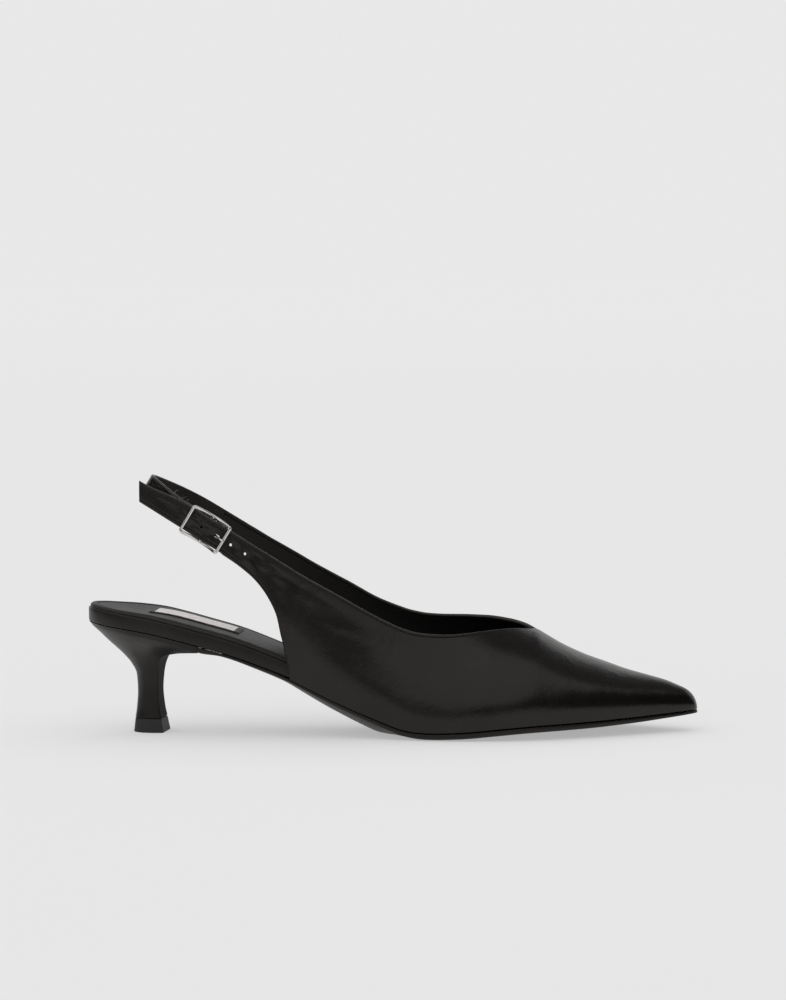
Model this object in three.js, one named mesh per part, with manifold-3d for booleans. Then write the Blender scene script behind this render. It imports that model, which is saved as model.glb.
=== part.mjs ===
// A pointed slingback pump for the right foot, on a low flared heel. The toe points along +X,
// the lateral side with the buckle faces -Y, and the shoe stands on its top lift and forefoot at Z = 0.
import * as THREE from "three";
import { mergeVertices } from "three/addons/utils/BufferGeometryUtils.js";
import Module from "manifold-3d";

const wasm = await Module();
wasm.setup();

// Driving sizes, in millimetres and degrees
const shoeLength = 262;
const ballWidth = 75;
const heelHeight = 48.6;
const toeSpring = 6.2;
const throatHeight = 44.2;
const gap = 0.3;
const upperWall = 1.6;
const soleThickness = 2.7;
const edgeRelief = 0.4;
const waistDome = 4.7;
const insoleEdge = 6.2;
const forepartInsole = 2.0;
const insoleToeInset = 0.5;
const edgeRound = 0.9;
const seatCup = 1;
const archRise = 0.5;
const sockThickness = 1.3;
const sockInset = 1.8;
const sockToeInset = 0.7;
const labelLength = 39;
const labelWidth = 18;
const labelThickness = 0.4;
const heelSeatLength = 50;
const heelSeatWidth = 50.4;
const topLiftThickness = 6;
const topLiftFlare = 0.7;
const breastSkew = 0.07;
const strapWidth = 10.4;
const strapThickness = 1.8;
const strapSlope = 31.8;
const loopDepth = 33.2;
const loopSpread = 26;
const tabLength = 13;
const billetLength = 33.7;
const billetNarrowing = 2.6;
const billetTaper = 3.87;
const billetLift = 0.9;
const buckleForward = 0.9;
const buckleLength = 19.4;
const buckleBar = 1.3;
const buckleDepth = 1.3;
const buckleCorner = 0.9;
const centreBarRadius = 0.7;
const prongRadius = 0.45;
const holeDiameter = 1.3;
const holeSpacing = 7.25;
const firstHole = 2;
const prongSlot = 3.6;

// Sizes that follow from them
const heelBack = -shoeLength / 2;
const upperOffset = upperWall + gap;
const insoleLength = shoeLength - upperOffset;
const seamAtBall = soleThickness + gap;
const heelRise = heelHeight - seamAtBall;
const soleEdge = soleThickness - edgeRelief;
const throatAt = 0.737;

// The insole board's outline: how far each side lies from the centre line, as shares of the
// ball width, at shares of its length from the back of the heel.
const outline = [
  { at: 0, lateral: 0, medial: 0 },
  { at: 0.031, lateral: 0.213, medial: 0.213 },
  { at: 0.077, lateral: 0.307, medial: 0.307 },
  { at: 0.135, lateral: 0.341, medial: 0.341 },
  { at: 0.231, lateral: 0.337, medial: 0.317 },
  { at: 0.346, lateral: 0.341, medial: 0.24 },
  { at: 0.461, lateral: 0.389, medial: 0.248 },
  { at: 0.577, lateral: 0.471, medial: 0.337 },
  { at: 0.646, lateral: 0.501, medial: 0.417 },
  { at: 0.711, lateral: 0.488, medial: 0.455 },
  { at: 0.769, lateral: 0.437, medial: 0.449 },
  { at: 0.827, lateral: 0.352, medial: 0.397 },
  { at: 0.884, lateral: 0.245, medial: 0.305 },
  { at: 0.942, lateral: 0.123, medial: 0.181 },
  { at: 0.977, lateral: 0.052, medial: 0.111 },
  { at: 1, lateral: -0.032, medial: 0.032 },
];

// The seam line where upper and insole meet the sole, seen from the side: how much of the heel's
// rise and of the toe spring it has at each share of the shoe's length.
const seam = [
  { at: 0, rise: 1, spring: 0 },
  { at: 0.038, rise: 0.971, spring: 0 },
  { at: 0.076, rise: 0.944, spring: 0 },
  { at: 0.115, rise: 0.906, spring: 0 },
  { at: 0.153, rise: 0.852, spring: 0 },
  { at: 0.198, rise: 0.781, spring: 0 },
  { at: 0.244, rise: 0.706, spring: 0 },
  { at: 0.29, rise: 0.612, spring: 0 },
  { at: 0.336, rise: 0.506, spring: 0 },
  { at: 0.374, rise: 0.4, spring: 0 },
  { at: 0.412, rise: 0.294, spring: 0 },
  { at: 0.45, rise: 0.197, spring: 0 },
  { at: 0.481, rise: 0.124, spring: 0 },
  { at: 0.504, rise: 0.072, spring: 0 },
  { at: 0.527, rise: 0.028, spring: 0 },
  { at: 0.553, rise: 0.005, spring: 0 },
  { at: 0.58, rise: 0, spring: 0.01 },
  { at: 0.622, rise: 0, spring: 0.08 },
  { at: 0.676, rise: 0, spring: 0.27 },
  { at: 0.725, rise: 0, spring: 0.44 },
  { at: 0.782, rise: 0, spring: 0.55 },
  { at: 0.84, rise: 0, spring: 0.63 },
  { at: 0.897, rise: 0, spring: 0.73 },
  { at: 0.947, rise: 0, spring: 0.84 },
  { at: 1, rise: 0, spring: 1 },
];

// The outsole's section: the height of its edge as a share of soleEdge, how far its bottom bulges
// below that edge as a share of waistDome, and how far its outline stands out past the insole's,
// as a share of the upper's offset.
const soleSections = [
  { at: 0.196, edge: 1.02, dome: 0.3, reach: -0.25 },
  { at: 0.233, edge: 0.58, dome: 0.24, reach: -0.25 },
  { at: 0.282, edge: 0.62, dome: 0.34, reach: -0.2 },
  { at: 0.326, edge: 0.66, dome: 0.38, reach: 0.1 },
  { at: 0.355, edge: 0.7, dome: 0.56, reach: 0.6 },
  { at: 0.388, edge: 0.76, dome: 0.72, reach: 1 },
  { at: 0.421, edge: 0.8, dome: 0.82, reach: 1.1 },
  { at: 0.459, edge: 0.84, dome: 0.94, reach: 1.15 },
  { at: 0.477, edge: 0.86, dome: 0.98, reach: 1.15 },
  { at: 0.5, edge: 0.88, dome: 0.74, reach: 1.15 },
  { at: 0.519, edge: 0.9, dome: 0.42, reach: 1.15 },
  { at: 0.546, edge: 0.95, dome: 0.2, reach: 1.15 },
  { at: 0.565, edge: 1, dome: 0.12, reach: 1.15 },
  { at: 0.6, edge: 1, dome: 0.13, reach: 1.15 },
  { at: 0.66, edge: 1, dome: 0.13, reach: 1.15 },
  { at: 0.8, edge: 1, dome: 0.11, reach: 1.15 },
  { at: 0.9, edge: 0.85, dome: 0.1, reach: 1.1 },
  { at: 0.96, edge: 0.62, dome: 0.09, reach: 1.05 },
  { at: 1, edge: 0.5, dome: 0.02, reach: 1 },
];

// The forepart's tread is flat and touches the floor between these shares of the length, over
// this share of its width.
const treadFrom = 0.546;
const treadTo = 0.6;
const treadWidthShare = 0.36;

// The height of the vamp's ridge between throat and toe tip, as a share of the throat's height
// above the seam at the toe.
const ridge = [
  { at: 0.737, height: 1 },
  { at: 0.782, height: 0.8 },
  { at: 0.819, height: 0.671 },
  { at: 0.847, height: 0.594 },
  { at: 0.885, height: 0.491 },
  { at: 0.916, height: 0.426 },
  { at: 0.947, height: 0.36 },
  { at: 0.968, height: 0.297 },
  { at: 0.985, height: 0.231 },
  { at: 0.9947, height: 0.149 },
  { at: 0.9992, height: 0.06 },
  { at: 1, height: 0 },
];

// The topline from the straps to the throat: heights above the seam line on both sides as shares
// of the throat's height, distances from the centre line as shares of the ball width, and the
// angle at which the leather leaves the edge, from level (0) to straight down (90).
const topline = [
  { at: 0.258, lateralHeight: 1.204, medialHeight: 1.204, lateral: 0.363, medial: 0.365, lean: 89 },
  { at: 0.298, lateralHeight: 1.143, medialHeight: 1.149, lateral: 0.369, medial: 0.369, lean: 86 },
  { at: 0.359, lateralHeight: 1.075, medialHeight: 1.096, lateral: 0.372, medial: 0.371, lean: 82 },
  { at: 0.42, lateralHeight: 1.047, medialHeight: 1.075, lateral: 0.369, medial: 0.369, lean: 78 },
  { at: 0.48, lateralHeight: 0.997, medialHeight: 1.037, lateral: 0.361, medial: 0.36, lean: 73 },
  { at: 0.527, lateralHeight: 0.963, medialHeight: 1.041, lateral: 0.347, medial: 0.344, lean: 67 },
  { at: 0.561, lateralHeight: 0.938, medialHeight: 1.037, lateral: 0.328, medial: 0.323, lean: 60 },
  { at: 0.611, lateralHeight: 0.918, medialHeight: 1.031, lateral: 0.277, medial: 0.277, lean: 48 },
  { at: 0.653, lateralHeight: 0.919, medialHeight: 1.012, lateral: 0.213, medial: 0.216, lean: 36 },
  { at: 0.693, lateralHeight: 0.910, medialHeight: 0.967, lateral: 0.132, medial: 0.144, lean: 24 },
  { at: 0.72, lateralHeight: 0.887, medialHeight: 0.915, lateral: 0.062, medial: 0.08, lean: 12 },
  { at: 0.737, lateralHeight: 0.866, medialHeight: 0.866, lateral: -0.013, medial: 0.013, lean: 3 },
];

// The quarter's rear edge, which rises from its corner on the seam to the lower edge of the strap.
// Each row is the foot of the section whose upper end is at that share of the length on the
// topline: how much of the way back and up it has gone, and its distance from the centre line.
const rearEdge = [
  { at: 0.258, back: 1.010, height: 0.997, lateral: 0.363, medial: 0.365, lateralLean: 90, medialLean: 90 },
  { at: 0.27, back: 0.765, height: 0.909, lateral: 0.367, medial: 0.368, lateralLean: 90, medialLean: 89 },
  { at: 0.285, back: 0.510, height: 0.794, lateral: 0.373, medial: 0.368, lateralLean: 90, medialLean: 88 },
  { at: 0.302, back: 0.312, height: 0.657, lateral: 0.379, medial: 0.362, lateralLean: 89, medialLean: 86 },
  { at: 0.319, back: 0.179, height: 0.512, lateral: 0.382, medial: 0.349, lateralLean: 88, medialLean: 82 },
  { at: 0.335, back: 0.113, height: 0.354, lateral: 0.381, medial: 0.327, lateralLean: 87, medialLean: 77 },
  { at: 0.349, back: 0.057, height: 0.185, lateral: 0.376, medial: 0.299, lateralLean: 87, medialLean: 71 },
  { at: 0.361, back: 0.000, height: 0.014, lateral: 0.367, medial: 0.265, lateralLean: 87, medialLean: 66 },
];

// How the upper stands on the seam: its angle from level on each side, and how far the curves of
// a section pull towards foot and top, as shares of the distance between them.
const stance = [
  { at: 0.34, lateralLean: 87, medialLean: 66, footPull: 0.34, topPull: 0.34 },
  { at: 0.45, lateralLean: 84, medialLean: 68, footPull: 0.34, topPull: 0.34 },
  { at: 0.56, lateralLean: 79, medialLean: 75, footPull: 0.35, topPull: 0.34 },
  { at: 0.66, lateralLean: 76, medialLean: 77, footPull: 0.36, topPull: 0.33 },
  { at: 0.74, lateralLean: 74, medialLean: 75, footPull: 0.37, topPull: 0.33 },
  { at: 0.82, lateralLean: 72, medialLean: 72, footPull: 0.38, topPull: 0.36 },
  { at: 0.92, lateralLean: 69, medialLean: 69, footPull: 0.4, topPull: 0.4 },
  { at: 1, lateralLean: 66, medialLean: 66, footPull: 0.4, topPull: 0.4 },
];

// The heel's levels from seat to top lift: the places of its back and breast as shares of the
// seat's length, their heights as shares of the way from the top lift up to the seat, and its
// width as a share of the seat's.
const heelLevels = [
  { at: 0, back: 0.004, breast: 1, backHeight: 1, breastHeight: 1, width: 0.992 },
  { at: 0.1, back: 0.03, breast: 0.992, backHeight: 0.96, breastHeight: 0.918, width: 0.966 },
  { at: 0.2, back: 0.096, breast: 0.91, backHeight: 0.886, breastHeight: 0.907, width: 0.86 },
  { at: 0.3, back: 0.156, breast: 0.815, backHeight: 0.814, breastHeight: 0.893, width: 0.73 },
  { at: 0.4, back: 0.232, breast: 0.712, backHeight: 0.731, breastHeight: 0.855, width: 0.575 },
  { at: 0.5, back: 0.304, breast: 0.652, backHeight: 0.648, breastHeight: 0.785, width: 0.445 },
  { at: 0.6, back: 0.362, breast: 0.63, backHeight: 0.564, breastHeight: 0.69, width: 0.352 },
  { at: 0.7, back: 0.408, breast: 0.62, backHeight: 0.445, breastHeight: 0.555, width: 0.284 },
  { at: 0.8, back: 0.416, breast: 0.614, backHeight: 0.279, breastHeight: 0.366, width: 0.254 },
  { at: 0.9, back: 0.406, breast: 0.626, backHeight: 0.112, breastHeight: 0.147, width: 0.258 },
  { at: 1, back: 0.392, breast: 0.642, backHeight: 0, breastHeight: 0, width: 0.278 },
];

// The sling strap's centre line around the heel, seen square to the plane that it lies in: how far
// back from the medial joint, as a share of the loop's depth, and how far from the shoe's centre
// line, medial side positive, as a share of the loop's spread.
const slingLoop = [
  { back: 0, side: 1 },
  { back: 0.162, side: 0.985 },
  { back: 0.334, side: 0.935 },
  { back: 0.495, side: 0.815 },
  { back: 0.667, side: 0.61 },
  { back: 0.828, side: 0.34 },
  { back: 0.934, side: 0.13 },
  { back: 0.973, side: -0.01 },
  { back: 0.944, side: -0.14 },
  { back: 0.828, side: -0.34 },
  { back: 0.677, side: -0.555 },
  { back: 0.536, side: -0.715 },
];

// The sling strap's end at the buckle, from the loop to the centre bar, and its flap behind the
// bar: places along the billet as shares of half the buckle, depths below the billet's middle as
// shares of the bar's depth, and thicknesses as shares of the strap's.
const slingFold = [
  { along: 1.44, depth: 1.35, thickness: 1 },
  { along: 0.93, depth: 0.9, thickness: 1 },
  { along: 0.52, depth: 0.71, thickness: 0.72 },
];
const slingFlap = [
  { along: 0.31, depth: 1.67, thickness: 0.6 },
  { along: 0.93, depth: 1.7, thickness: 0.6 },
  { along: 1.4, depth: 2.06, thickness: 0.6 },
];

// The width of the seat as the outline's table has it, as a share of the ball width
const seatShare = 0.672;

// The prong from its wrap around the centre bar to the frame: how far it has gone towards its hole,
// and how far it has risen from the bar to where it rests.
const prongPath = [
  { reach: 0.4, rise: -0.025 },
  { reach: 0.68, rise: -0.012 },
  { reach: 0.86, rise: 0.075 },
  { reach: 1, rise: 0.3 },
  { reach: 1.14, rise: 0.525 },
  { reach: 1.35, rise: 0.78 },
  { reach: 1.58, rise: 1 },
];

const black = new THREE.Color(0x141312);

// A value read off a smooth curve through one column of a table. The places are eased first, so
// that a round end can be described by few rows.
function reading(table, column, at, ease = (share) => share) {
  const places = table.map((row) => ease(row.at));
  const place = THREE.MathUtils.clamp(ease(at), places[0], places.at(-1));
  let span = 0;
  while (span < table.length - 2 && place > places[span + 1]) span += 1;
  const rise = (row) => (table[row + 1][column] - table[row][column]) / (places[row + 1] - places[row]);
  const slope = (row) => {
    if (row === 0) return rise(0);
    if (row === table.length - 1) return rise(row - 1);
    const before = rise(row - 1);
    const after = rise(row);
    if (before * after <= 0) return 0;
    return (2 * before * after) / (before + after);
  };
  const width = places[span + 1] - places[span];
  const t = (place - places[span]) / width;
  const start = (1 + 2 * t) * (1 - t) ** 2 * table[span][column];
  const end = t ** 2 * (3 - 2 * t) * table[span + 1][column];
  const leave = t * (1 - t) ** 2 * width * slope(span);
  const arrive = t ** 2 * (t - 1) * width * slope(span + 1);
  return start + end + leave + arrive;
}

// Easing that gives both ends of an outline a round end
const roundEnds = (share) => Math.acos(THREE.MathUtils.clamp(1 - 2 * share, -1, 1));

const shareAt = (x) => THREE.MathUtils.clamp((x - heelBack) / shoeLength, 0, 1);
const xAt = (share) => heelBack + share * shoeLength;

// Height of the seam line above the floor at a place along the shoe
function seamHeight(x) {
  const share = shareAt(x);
  return seamAtBall + heelRise * reading(seam, "rise", share) + toeSpring * reading(seam, "spring", share);
}

// A point of the insole's outline on the side -1 (lateral) or +1 (medial), moved square to the
// outline by an offset. The turn runs from 0 at the back of the heel to pi at the toe.
function outlinePoint(side, turn, offset = 0) {
  const column = side < 0 ? "lateral" : "medial";
  const spot = (angle) => {
    const share = (1 - Math.cos(angle)) / 2;
    const seatScale = heelSeatWidth / (seatShare * ballWidth);
    const scale = THREE.MathUtils.lerp(seatScale, 1, THREE.MathUtils.smoothstep(share, 0.14, 0.3));
    const y = side * ballWidth * scale * reading(outline, column, share, roundEnds);
    return new THREE.Vector2(heelBack + insoleLength * share, y);
  };
  const step = 0.002;
  const ends = [new THREE.Vector2(-1, 0), new THREE.Vector2(1, 0)];
  if (turn < step) return spot(0).addScaledVector(ends[0], offset);
  if (turn > Math.PI - step) return spot(Math.PI).addScaledVector(ends[1], offset);
  const direction = spot(turn + step).sub(spot(turn - step)).normalize();
  const outward = new THREE.Vector2(-direction.y * side, direction.x * side);
  return spot(turn).addScaledVector(outward, offset);
}

const turnAt = (x) => roundEnds(THREE.MathUtils.clamp((x - heelBack) / insoleLength, 0, 1));

// Height of the insole's top edge over the seam: full where the edge shows, thin inside the upper
function insoleRise(x) {
  const fade = THREE.MathUtils.smoothstep(shareAt(x), 0.36, 0.52);
  return THREE.MathUtils.lerp(insoleEdge, forepartInsole, fade);
}

// The insole's top surface, cupped at the back of the heel and a little raised in front of it
function insoleTop(x, y) {
  const share = shareAt(x);
  const forward = THREE.MathUtils.smoothstep(share, 0.07, 0.16);
  const rise = archRise * forward * (1 - THREE.MathUtils.smoothstep(share, 0.3, 0.42));
  const halfWidth = (heelSeatWidth / 2) * 0.94;
  const inward = Math.max(0, 1 - (y / halfWidth) ** 2);
  const fromBack = THREE.MathUtils.smoothstep(x - heelBack, 0, heelSeatLength * 0.55);
  const cup = seatCup * fromBack * (1 - forward);
  return seamHeight(x) + insoleRise(x) + (rise - cup) * inward;
}

// Height of the topline on a named side
function toplineHeight(at, name) {
  return seamHeight(xAt(at)) + throatHeight * reading(topline, `${name}Height`, at);
}

const sockTop = (x, y) => insoleTop(x, y) + gap + sockThickness;

// A mesh built from points and the triangles between them
class Shell {
  constructor() {
    this.positions = [];
  }

  triangle(a, b, c) {
    for (const point of [a, b, c]) this.positions.push(point.x, point.y, point.z);
  }

  quad(a, b, c, d) {
    this.triangle(a, b, c);
    this.triangle(a, c, d);
  }

  geometry() {
    const loose = new THREE.BufferGeometry();
    loose.setAttribute("position", new THREE.Float32BufferAttribute(this.positions, 3));
    const merged = mergeVertices(loose, 1e-4);
    const index = merged.getIndex().array;
    const kept = [];
    for (let i = 0; i < index.length; i += 3) {
      const [a, b, c] = [index[i], index[i + 1], index[i + 2]];
      if (a !== b && b !== c && c !== a) kept.push(a, b, c);
    }
    merged.setIndex(kept);
    return merged;
  }
}

// A solid between rings of points with equal counts. Each end is left as it is where its ring is
// folded flat, closed by a fan around its middle, or by rungs between its two mirrored halves.
function loft(rings, startCap, endCap) {
  const shell = new Shell();
  const count = rings[0].length;
  for (let i = 0; i < rings.length - 1; i += 1) {
    for (let j = 0; j < count; j += 1) {
      const next = (j + 1) % count;
      shell.quad(rings[i][j], rings[i][next], rings[i + 1][next], rings[i + 1][j]);
    }
  }
  const caps = {
    folded: () => {},
    fan: (ring) => {
      const middle = ring.reduce((sum, point) => sum.add(point), new THREE.Vector3()).divideScalar(count);
      for (let j = 0; j < count; j += 1) shell.triangle(middle, ring[j], ring[(j + 1) % count]);
    },
    rungs: (ring) => {
      for (let j = 0; j < Math.floor(count / 2); j += 1) {
        shell.quad(ring[j], ring[j + 1], ring[count - 2 - j], ring[count - 1 - j]);
      }
    },
  };
  const mirrored = [...rings[0]].reverse();
  caps[startCap](mirrored);
  caps[endCap](rings.at(-1));
  return shell.geometry();
}

const toManifold = (geometry) => new wasm.Manifold(new wasm.Mesh({
  numProp: 3,
  vertProperties: new Float32Array(geometry.getAttribute("position").array),
  triVerts: new Uint32Array(geometry.getIndex().array),
}));

function fromManifold(solid) {
  const mesh = solid.getMesh();
  const geometry = new THREE.BufferGeometry();
  geometry.setAttribute("position", new THREE.Float32BufferAttribute(mesh.vertProperties, 3));
  geometry.setIndex([...mesh.triVerts]);
  return geometry;
}

// A geometry with welded corners, ready for joining and cutting
function welded(geometry) {
  const bare = geometry.clone();
  bare.deleteAttribute("normal");
  bare.deleteAttribute("uv");
  return mergeVertices(bare, 1e-4);
}

// Stations along a slab between two places, close together at a round toe
function turnsBetween(fromTurn, toTurn, count) {
  return Array.from({ length: count + 1 }, (_, i) => THREE.MathUtils.lerp(fromTurn, toTurn, i / count));
}

// One ring of a slab that follows the outline: its bottom from the lateral to the medial side, the
// medial side up, its top back across and the lateral side down. Levels give the offset from the
// outline and the height at each corner; the columns cross its top and bottom.
function slabRing(turn, bottomHeight, topHeight, levels, columns) {
  const corner = (side, level) => {
    const spot = outlinePoint(side, turn, level.offset);
    return new THREE.Vector3(spot.x, spot.y, level.height(spot.x, spot.y));
  };
  const across = (from, to, height) => Array.from({ length: columns - 1 }, (_, i) => {
    const point = from.clone().lerp(to, (i + 1) / columns);
    point.z = height(point.x, point.y, from, to);
    return point;
  });
  const lateral = levels.map((level) => corner(-1, level));
  const medial = levels.map((level) => corner(1, level));
  return [
    lateral[0],
    ...across(lateral[0], medial[0], bottomHeight),
    ...medial,
    ...across(medial.at(-1), lateral.at(-1), topHeight),
    ...lateral.slice(1).reverse(),
  ];
}

// Outsole: one thin leather sole from the heel breast to the toe, domed under the waist
function outsoleGeometry() {
  const from = heelSeatLength + 2 * gap;
  const read = (column, x) => reading(soleSections, column, shareAt(x));
  const top = (x) => seamHeight(x) - gap;
  const edge = (x) => soleEdge * read("edge", x);
  const lowest = (x) => {
    if (shareAt(x) >= treadFrom && shareAt(x) <= treadTo) return 0;
    return Math.max(0, top(x) - edge(x) - waistDome * read("dome", x));
  };
  const bottom = (x, y, a, b) => {
    const middle = (a.y + b.y) / 2;
    const out = Math.abs(y - middle) / Math.max(Math.abs(b.y - a.y) / 2, 1e-6);
    const curve = (Math.max(0, out - treadWidthShare) / (1 - treadWidthShare)) ** 2;
    return THREE.MathUtils.lerp(lowest(x), top(x) - edge(x), curve);
  };
  const treadTurns = [treadFrom, (treadFrom + treadTo) / 2, treadTo].map((at) => turnAt(xAt(at)));
  const turns = [
    ...turnsBetween(turnAt(heelBack + from), treadTurns[0], 18).slice(0, -1),
    ...treadTurns,
    ...turnsBetween(treadTurns[2], Math.PI, 20).slice(1),
  ];
  const rings = turns.map((turn) => {
    const reach = upperOffset * read("reach", outlinePoint(-1, turn).x);
    const bevel = 0.35 * soleEdge * (1 - Math.abs(Math.cos(turn)) ** 8);
    const levels = [
      { offset: reach - bevel, height: (x) => top(x) - edge(x) },
      { offset: reach, height: (x) => top(x) - edge(x) * 0.6 },
      { offset: reach, height: top },
    ];
    return slabRing(turn, bottom, top, levels, 8);
  });
  return loft(rings, "fan", "folded");
}

// The sock is laid out over the same stations as the insole under it, so their facets agree.
const slabSteps = 33;
const slabColumns = 5;

// Insole: the wrapped board whose edge shows around the heel, with a cupped seat
function insoleGeometry() {
  const rings = turnsBetween(0, Math.PI, slabSteps).map((turn) => {
    const inset = insoleToeInset * THREE.MathUtils.smoothstep(turn, 2.4, Math.PI);
    const rise = (x) => seamHeight(x) + insoleRise(x);
    const levels = [
      { offset: -inset - edgeRound * 0.7, height: seamHeight },
      { offset: -inset, height: (x) => seamHeight(x) + edgeRound * 0.8 },
      { offset: -inset, height: (x) => rise(x) - edgeRound },
      { offset: -inset - edgeRound, height: rise },
    ];
    return slabRing(turn, seamHeight, insoleTop, levels, slabColumns);
  });
  return loft(rings, "folded", "folded");
}

// Sock: the padded lining on the insole, a little smaller than it
function sockGeometry() {
  const rings = turnsBetween(0, Math.PI, slabSteps).map((turn) => {
    const inset = sockInset + sockToeInset * THREE.MathUtils.smoothstep(turn, 2.2, Math.PI);
    const base = (x, y) => insoleTop(x, y) + gap;
    const levels = [
      { offset: -inset, height: base },
      { offset: -inset - sockThickness * 0.2, height: (x, y) => base(x, y) + sockThickness * 0.6 },
      { offset: -inset - sockThickness, height: sockTop },
    ];
    return slabRing(turn, base, sockTop, levels, slabColumns);
  });
  return loft(rings, "folded", "folded");
}

// Label: a plain cloth strip laid along the heel seat of the sock
function labelGeometry() {
  const back = heelBack + heelSeatLength * 0.545;
  const columns = 4;
  const stations = Array.from({ length: 11 }, (_, i) => back + (labelLength * i) / 10);
  const rings = stations.map((x) => {
    const line = (lift) => Array.from({ length: columns + 1 }, (_, j) => {
      const y = labelWidth * (j / columns - 0.5);
      return new THREE.Vector3(x, y, sockTop(x, y) + lift);
    });
    return [...line(gap), ...line(gap + labelThickness).reverse()];
  });
  return loft(rings, "fan", "fan");
}

// Upper
// The plane of the sling strap rises backwards. Its axes are: back along the strap, across it
// towards the medial side, and up over the width of the strap.
const slope = THREE.MathUtils.degToRad(strapSlope);
const strapBack = new THREE.Vector3(-Math.cos(slope), 0, Math.sin(slope));
const strapUp = new THREE.Vector3(Math.sin(slope), 0, Math.cos(slope));
const strapEnd = topline[0];
const strapOrigin = new THREE.Vector3(xAt(strapEnd.at), 0, toplineHeight(strapEnd.at, "lateral"))
  .addScaledVector(strapUp, -strapWidth / 2)
  .addScaledVector(strapBack, tabLength);

// The lateral billet runs straight through the buckle and leans inwards a little towards its end.
const billetTurn = THREE.MathUtils.degToRad(billetTaper);
const alongBillet = strapBack.clone().multiplyScalar(Math.cos(billetTurn));
alongBillet.y = Math.sin(billetTurn);
const outOfBillet = strapBack.clone().multiplyScalar(Math.sin(billetTurn));
outOfBillet.y = -Math.cos(billetTurn);
const buckleMiddle = strapOrigin.clone().addScaledVector(strapBack, -buckleForward);
buckleMiddle.y = -loopSpread * 0.985;

const billetFrame = new THREE.Matrix4().makeBasis(alongBillet, outOfBillet, strapUp);

// A point beside the buckle: along the billet, up over its width, and outwards from its middle
function besideBuckle(along, up, out) {
  return buckleMiddle.clone()
    .addScaledVector(alongBillet, along)
    .addScaledVector(strapUp, up)
    .addScaledVector(outOfBillet, out);
}

// The billet lifts over the buckle's centre bar and lies flat outside the frame.
const liftReach = buckleLength * 0.42;

function billetBulge(along) {
  const away = Math.min(Math.abs(along) / liftReach, 1);
  return billetLift * Math.cos((away * Math.PI) / 2) ** 2;
}

// One section of the upper on one side, from its foot to its top, as a curve whose ends leave
// foot and top at the angles given, measured from level outwards.
function wallSection(side, foot, top, footLean, topLean, footPull, topPull, steps) {
  const span = top.clone().sub(foot);
  const upright = new THREE.Vector3(span.x, 0, span.z).normalize();
  const outward = new THREE.Vector3(0, side, 0);
  const length = span.length();
  const heading = (lean, upwards) => {
    const angle = THREE.MathUtils.degToRad(lean);
    const level = outward.clone().multiplyScalar(Math.cos(angle));
    return level.addScaledVector(upright, upwards * Math.sin(angle));
  };
  const low = foot.clone().addScaledVector(heading(footLean, 1), footPull * length);
  const high = top.clone().addScaledVector(heading(topLean, -1), topPull * length);
  return new THREE.CubicBezierCurve3(foot, low, high, top).getPoints(steps);
}

const sideName = (side) => (side < 0 ? "lateral" : "medial");

// Foot of the upper on the seam, outside the insole
function seamFoot(side, share) {
  const spot = outlinePoint(side, roundEnds(share), upperOffset);
  return new THREE.Vector3(spot.x, spot.y, seamHeight(spot.x));
}

// Top end of a section on the topline
function toplinePoint(side, at) {
  const name = sideName(side);
  const y = side * ballWidth * reading(topline, name, at);
  return new THREE.Vector3(xAt(at), y, toplineHeight(at, name));
}

// Top of a closed section of the vamp, on its ridge
function ridgePoint(at) {
  const tip = seamHeight(xAt(1));
  const height = tip + (throatHeight - tip) * reading(ridge, "height", at, roundEnds);
  const turn = roundEnds(at);
  const middle = (outlinePoint(-1, turn).y + outlinePoint(1, turn).y) / 2;
  const throatShift = ballWidth * 0.013;
  const forward = THREE.MathUtils.smoothstep(at, throatAt, 0.85);
  return new THREE.Vector3(xAt(at), THREE.MathUtils.lerp(throatShift, middle, forward), height);
}

const wallSteps = 8;
const throatRow = 19;

function seamSection(side, footShare, top, topLean) {
  const name = sideName(side);
  const lean = reading(stance, `${name}Lean`, footShare);
  const pulls = ["footPull", "topPull"].map((column) => reading(stance, column, footShare));
  return wallSection(side, seamFoot(side, footShare), top, lean, topLean, ...pulls, wallSteps);
}

const cornerAt = rearEdge.at(-1).at;
const cornerFoot = 0.343;

// The sections of one side of the upper, from the toe tip back to the end of its strap
function sideSections(side) {
  const name = sideName(side);
  const sections = [];
  for (let i = 0; i < throatRow; i += 1) {
    const at = 1 - (1 - throatAt) * (i / throatRow) ** 2;
    sections.push(seamSection(side, at, ridgePoint(at), 0));
  }
  const throatRows = 18;
  for (let i = 0; i <= throatRows; i += 1) {
    const back = (i / throatRows) ** 1.25;
    const at = THREE.MathUtils.lerp(throatAt, cornerAt, back);
    const lag = THREE.MathUtils.smoothstep(back, 0.5, 1);
    const footShare = at + (cornerFoot * (shoeLength / insoleLength) - cornerAt) * lag;
    sections.push(seamSection(side, footShare, toplinePoint(side, at), reading(topline, "lean", at)));
  }
  const corner = seamFoot(side, cornerFoot * (shoeLength / insoleLength));
  const strapFoot = toplinePoint(side, rearEdge[0].at).addScaledVector(strapUp, -strapWidth);
  const edgeRows = 10;
  for (let i = 1; i <= edgeRows; i += 1) {
    const at = THREE.MathUtils.lerp(cornerAt, rearEdge[0].at, i / edgeRows);
    const read = (column) => reading(rearEdge, column, at);
    const foot = new THREE.Vector3(
      THREE.MathUtils.lerp(corner.x, strapFoot.x, read("back")),
      side * ballWidth * read(name),
      THREE.MathUtils.lerp(corner.z, strapFoot.z, read("height")),
    );
    const lean = read(`${name}Lean`);
    const topLean = reading(topline, "lean", at);
    sections.push(wallSection(side, foot, toplinePoint(side, at), lean, topLean, 0.34, 0.34, wallSteps));
  }
  return sections;
}

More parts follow.
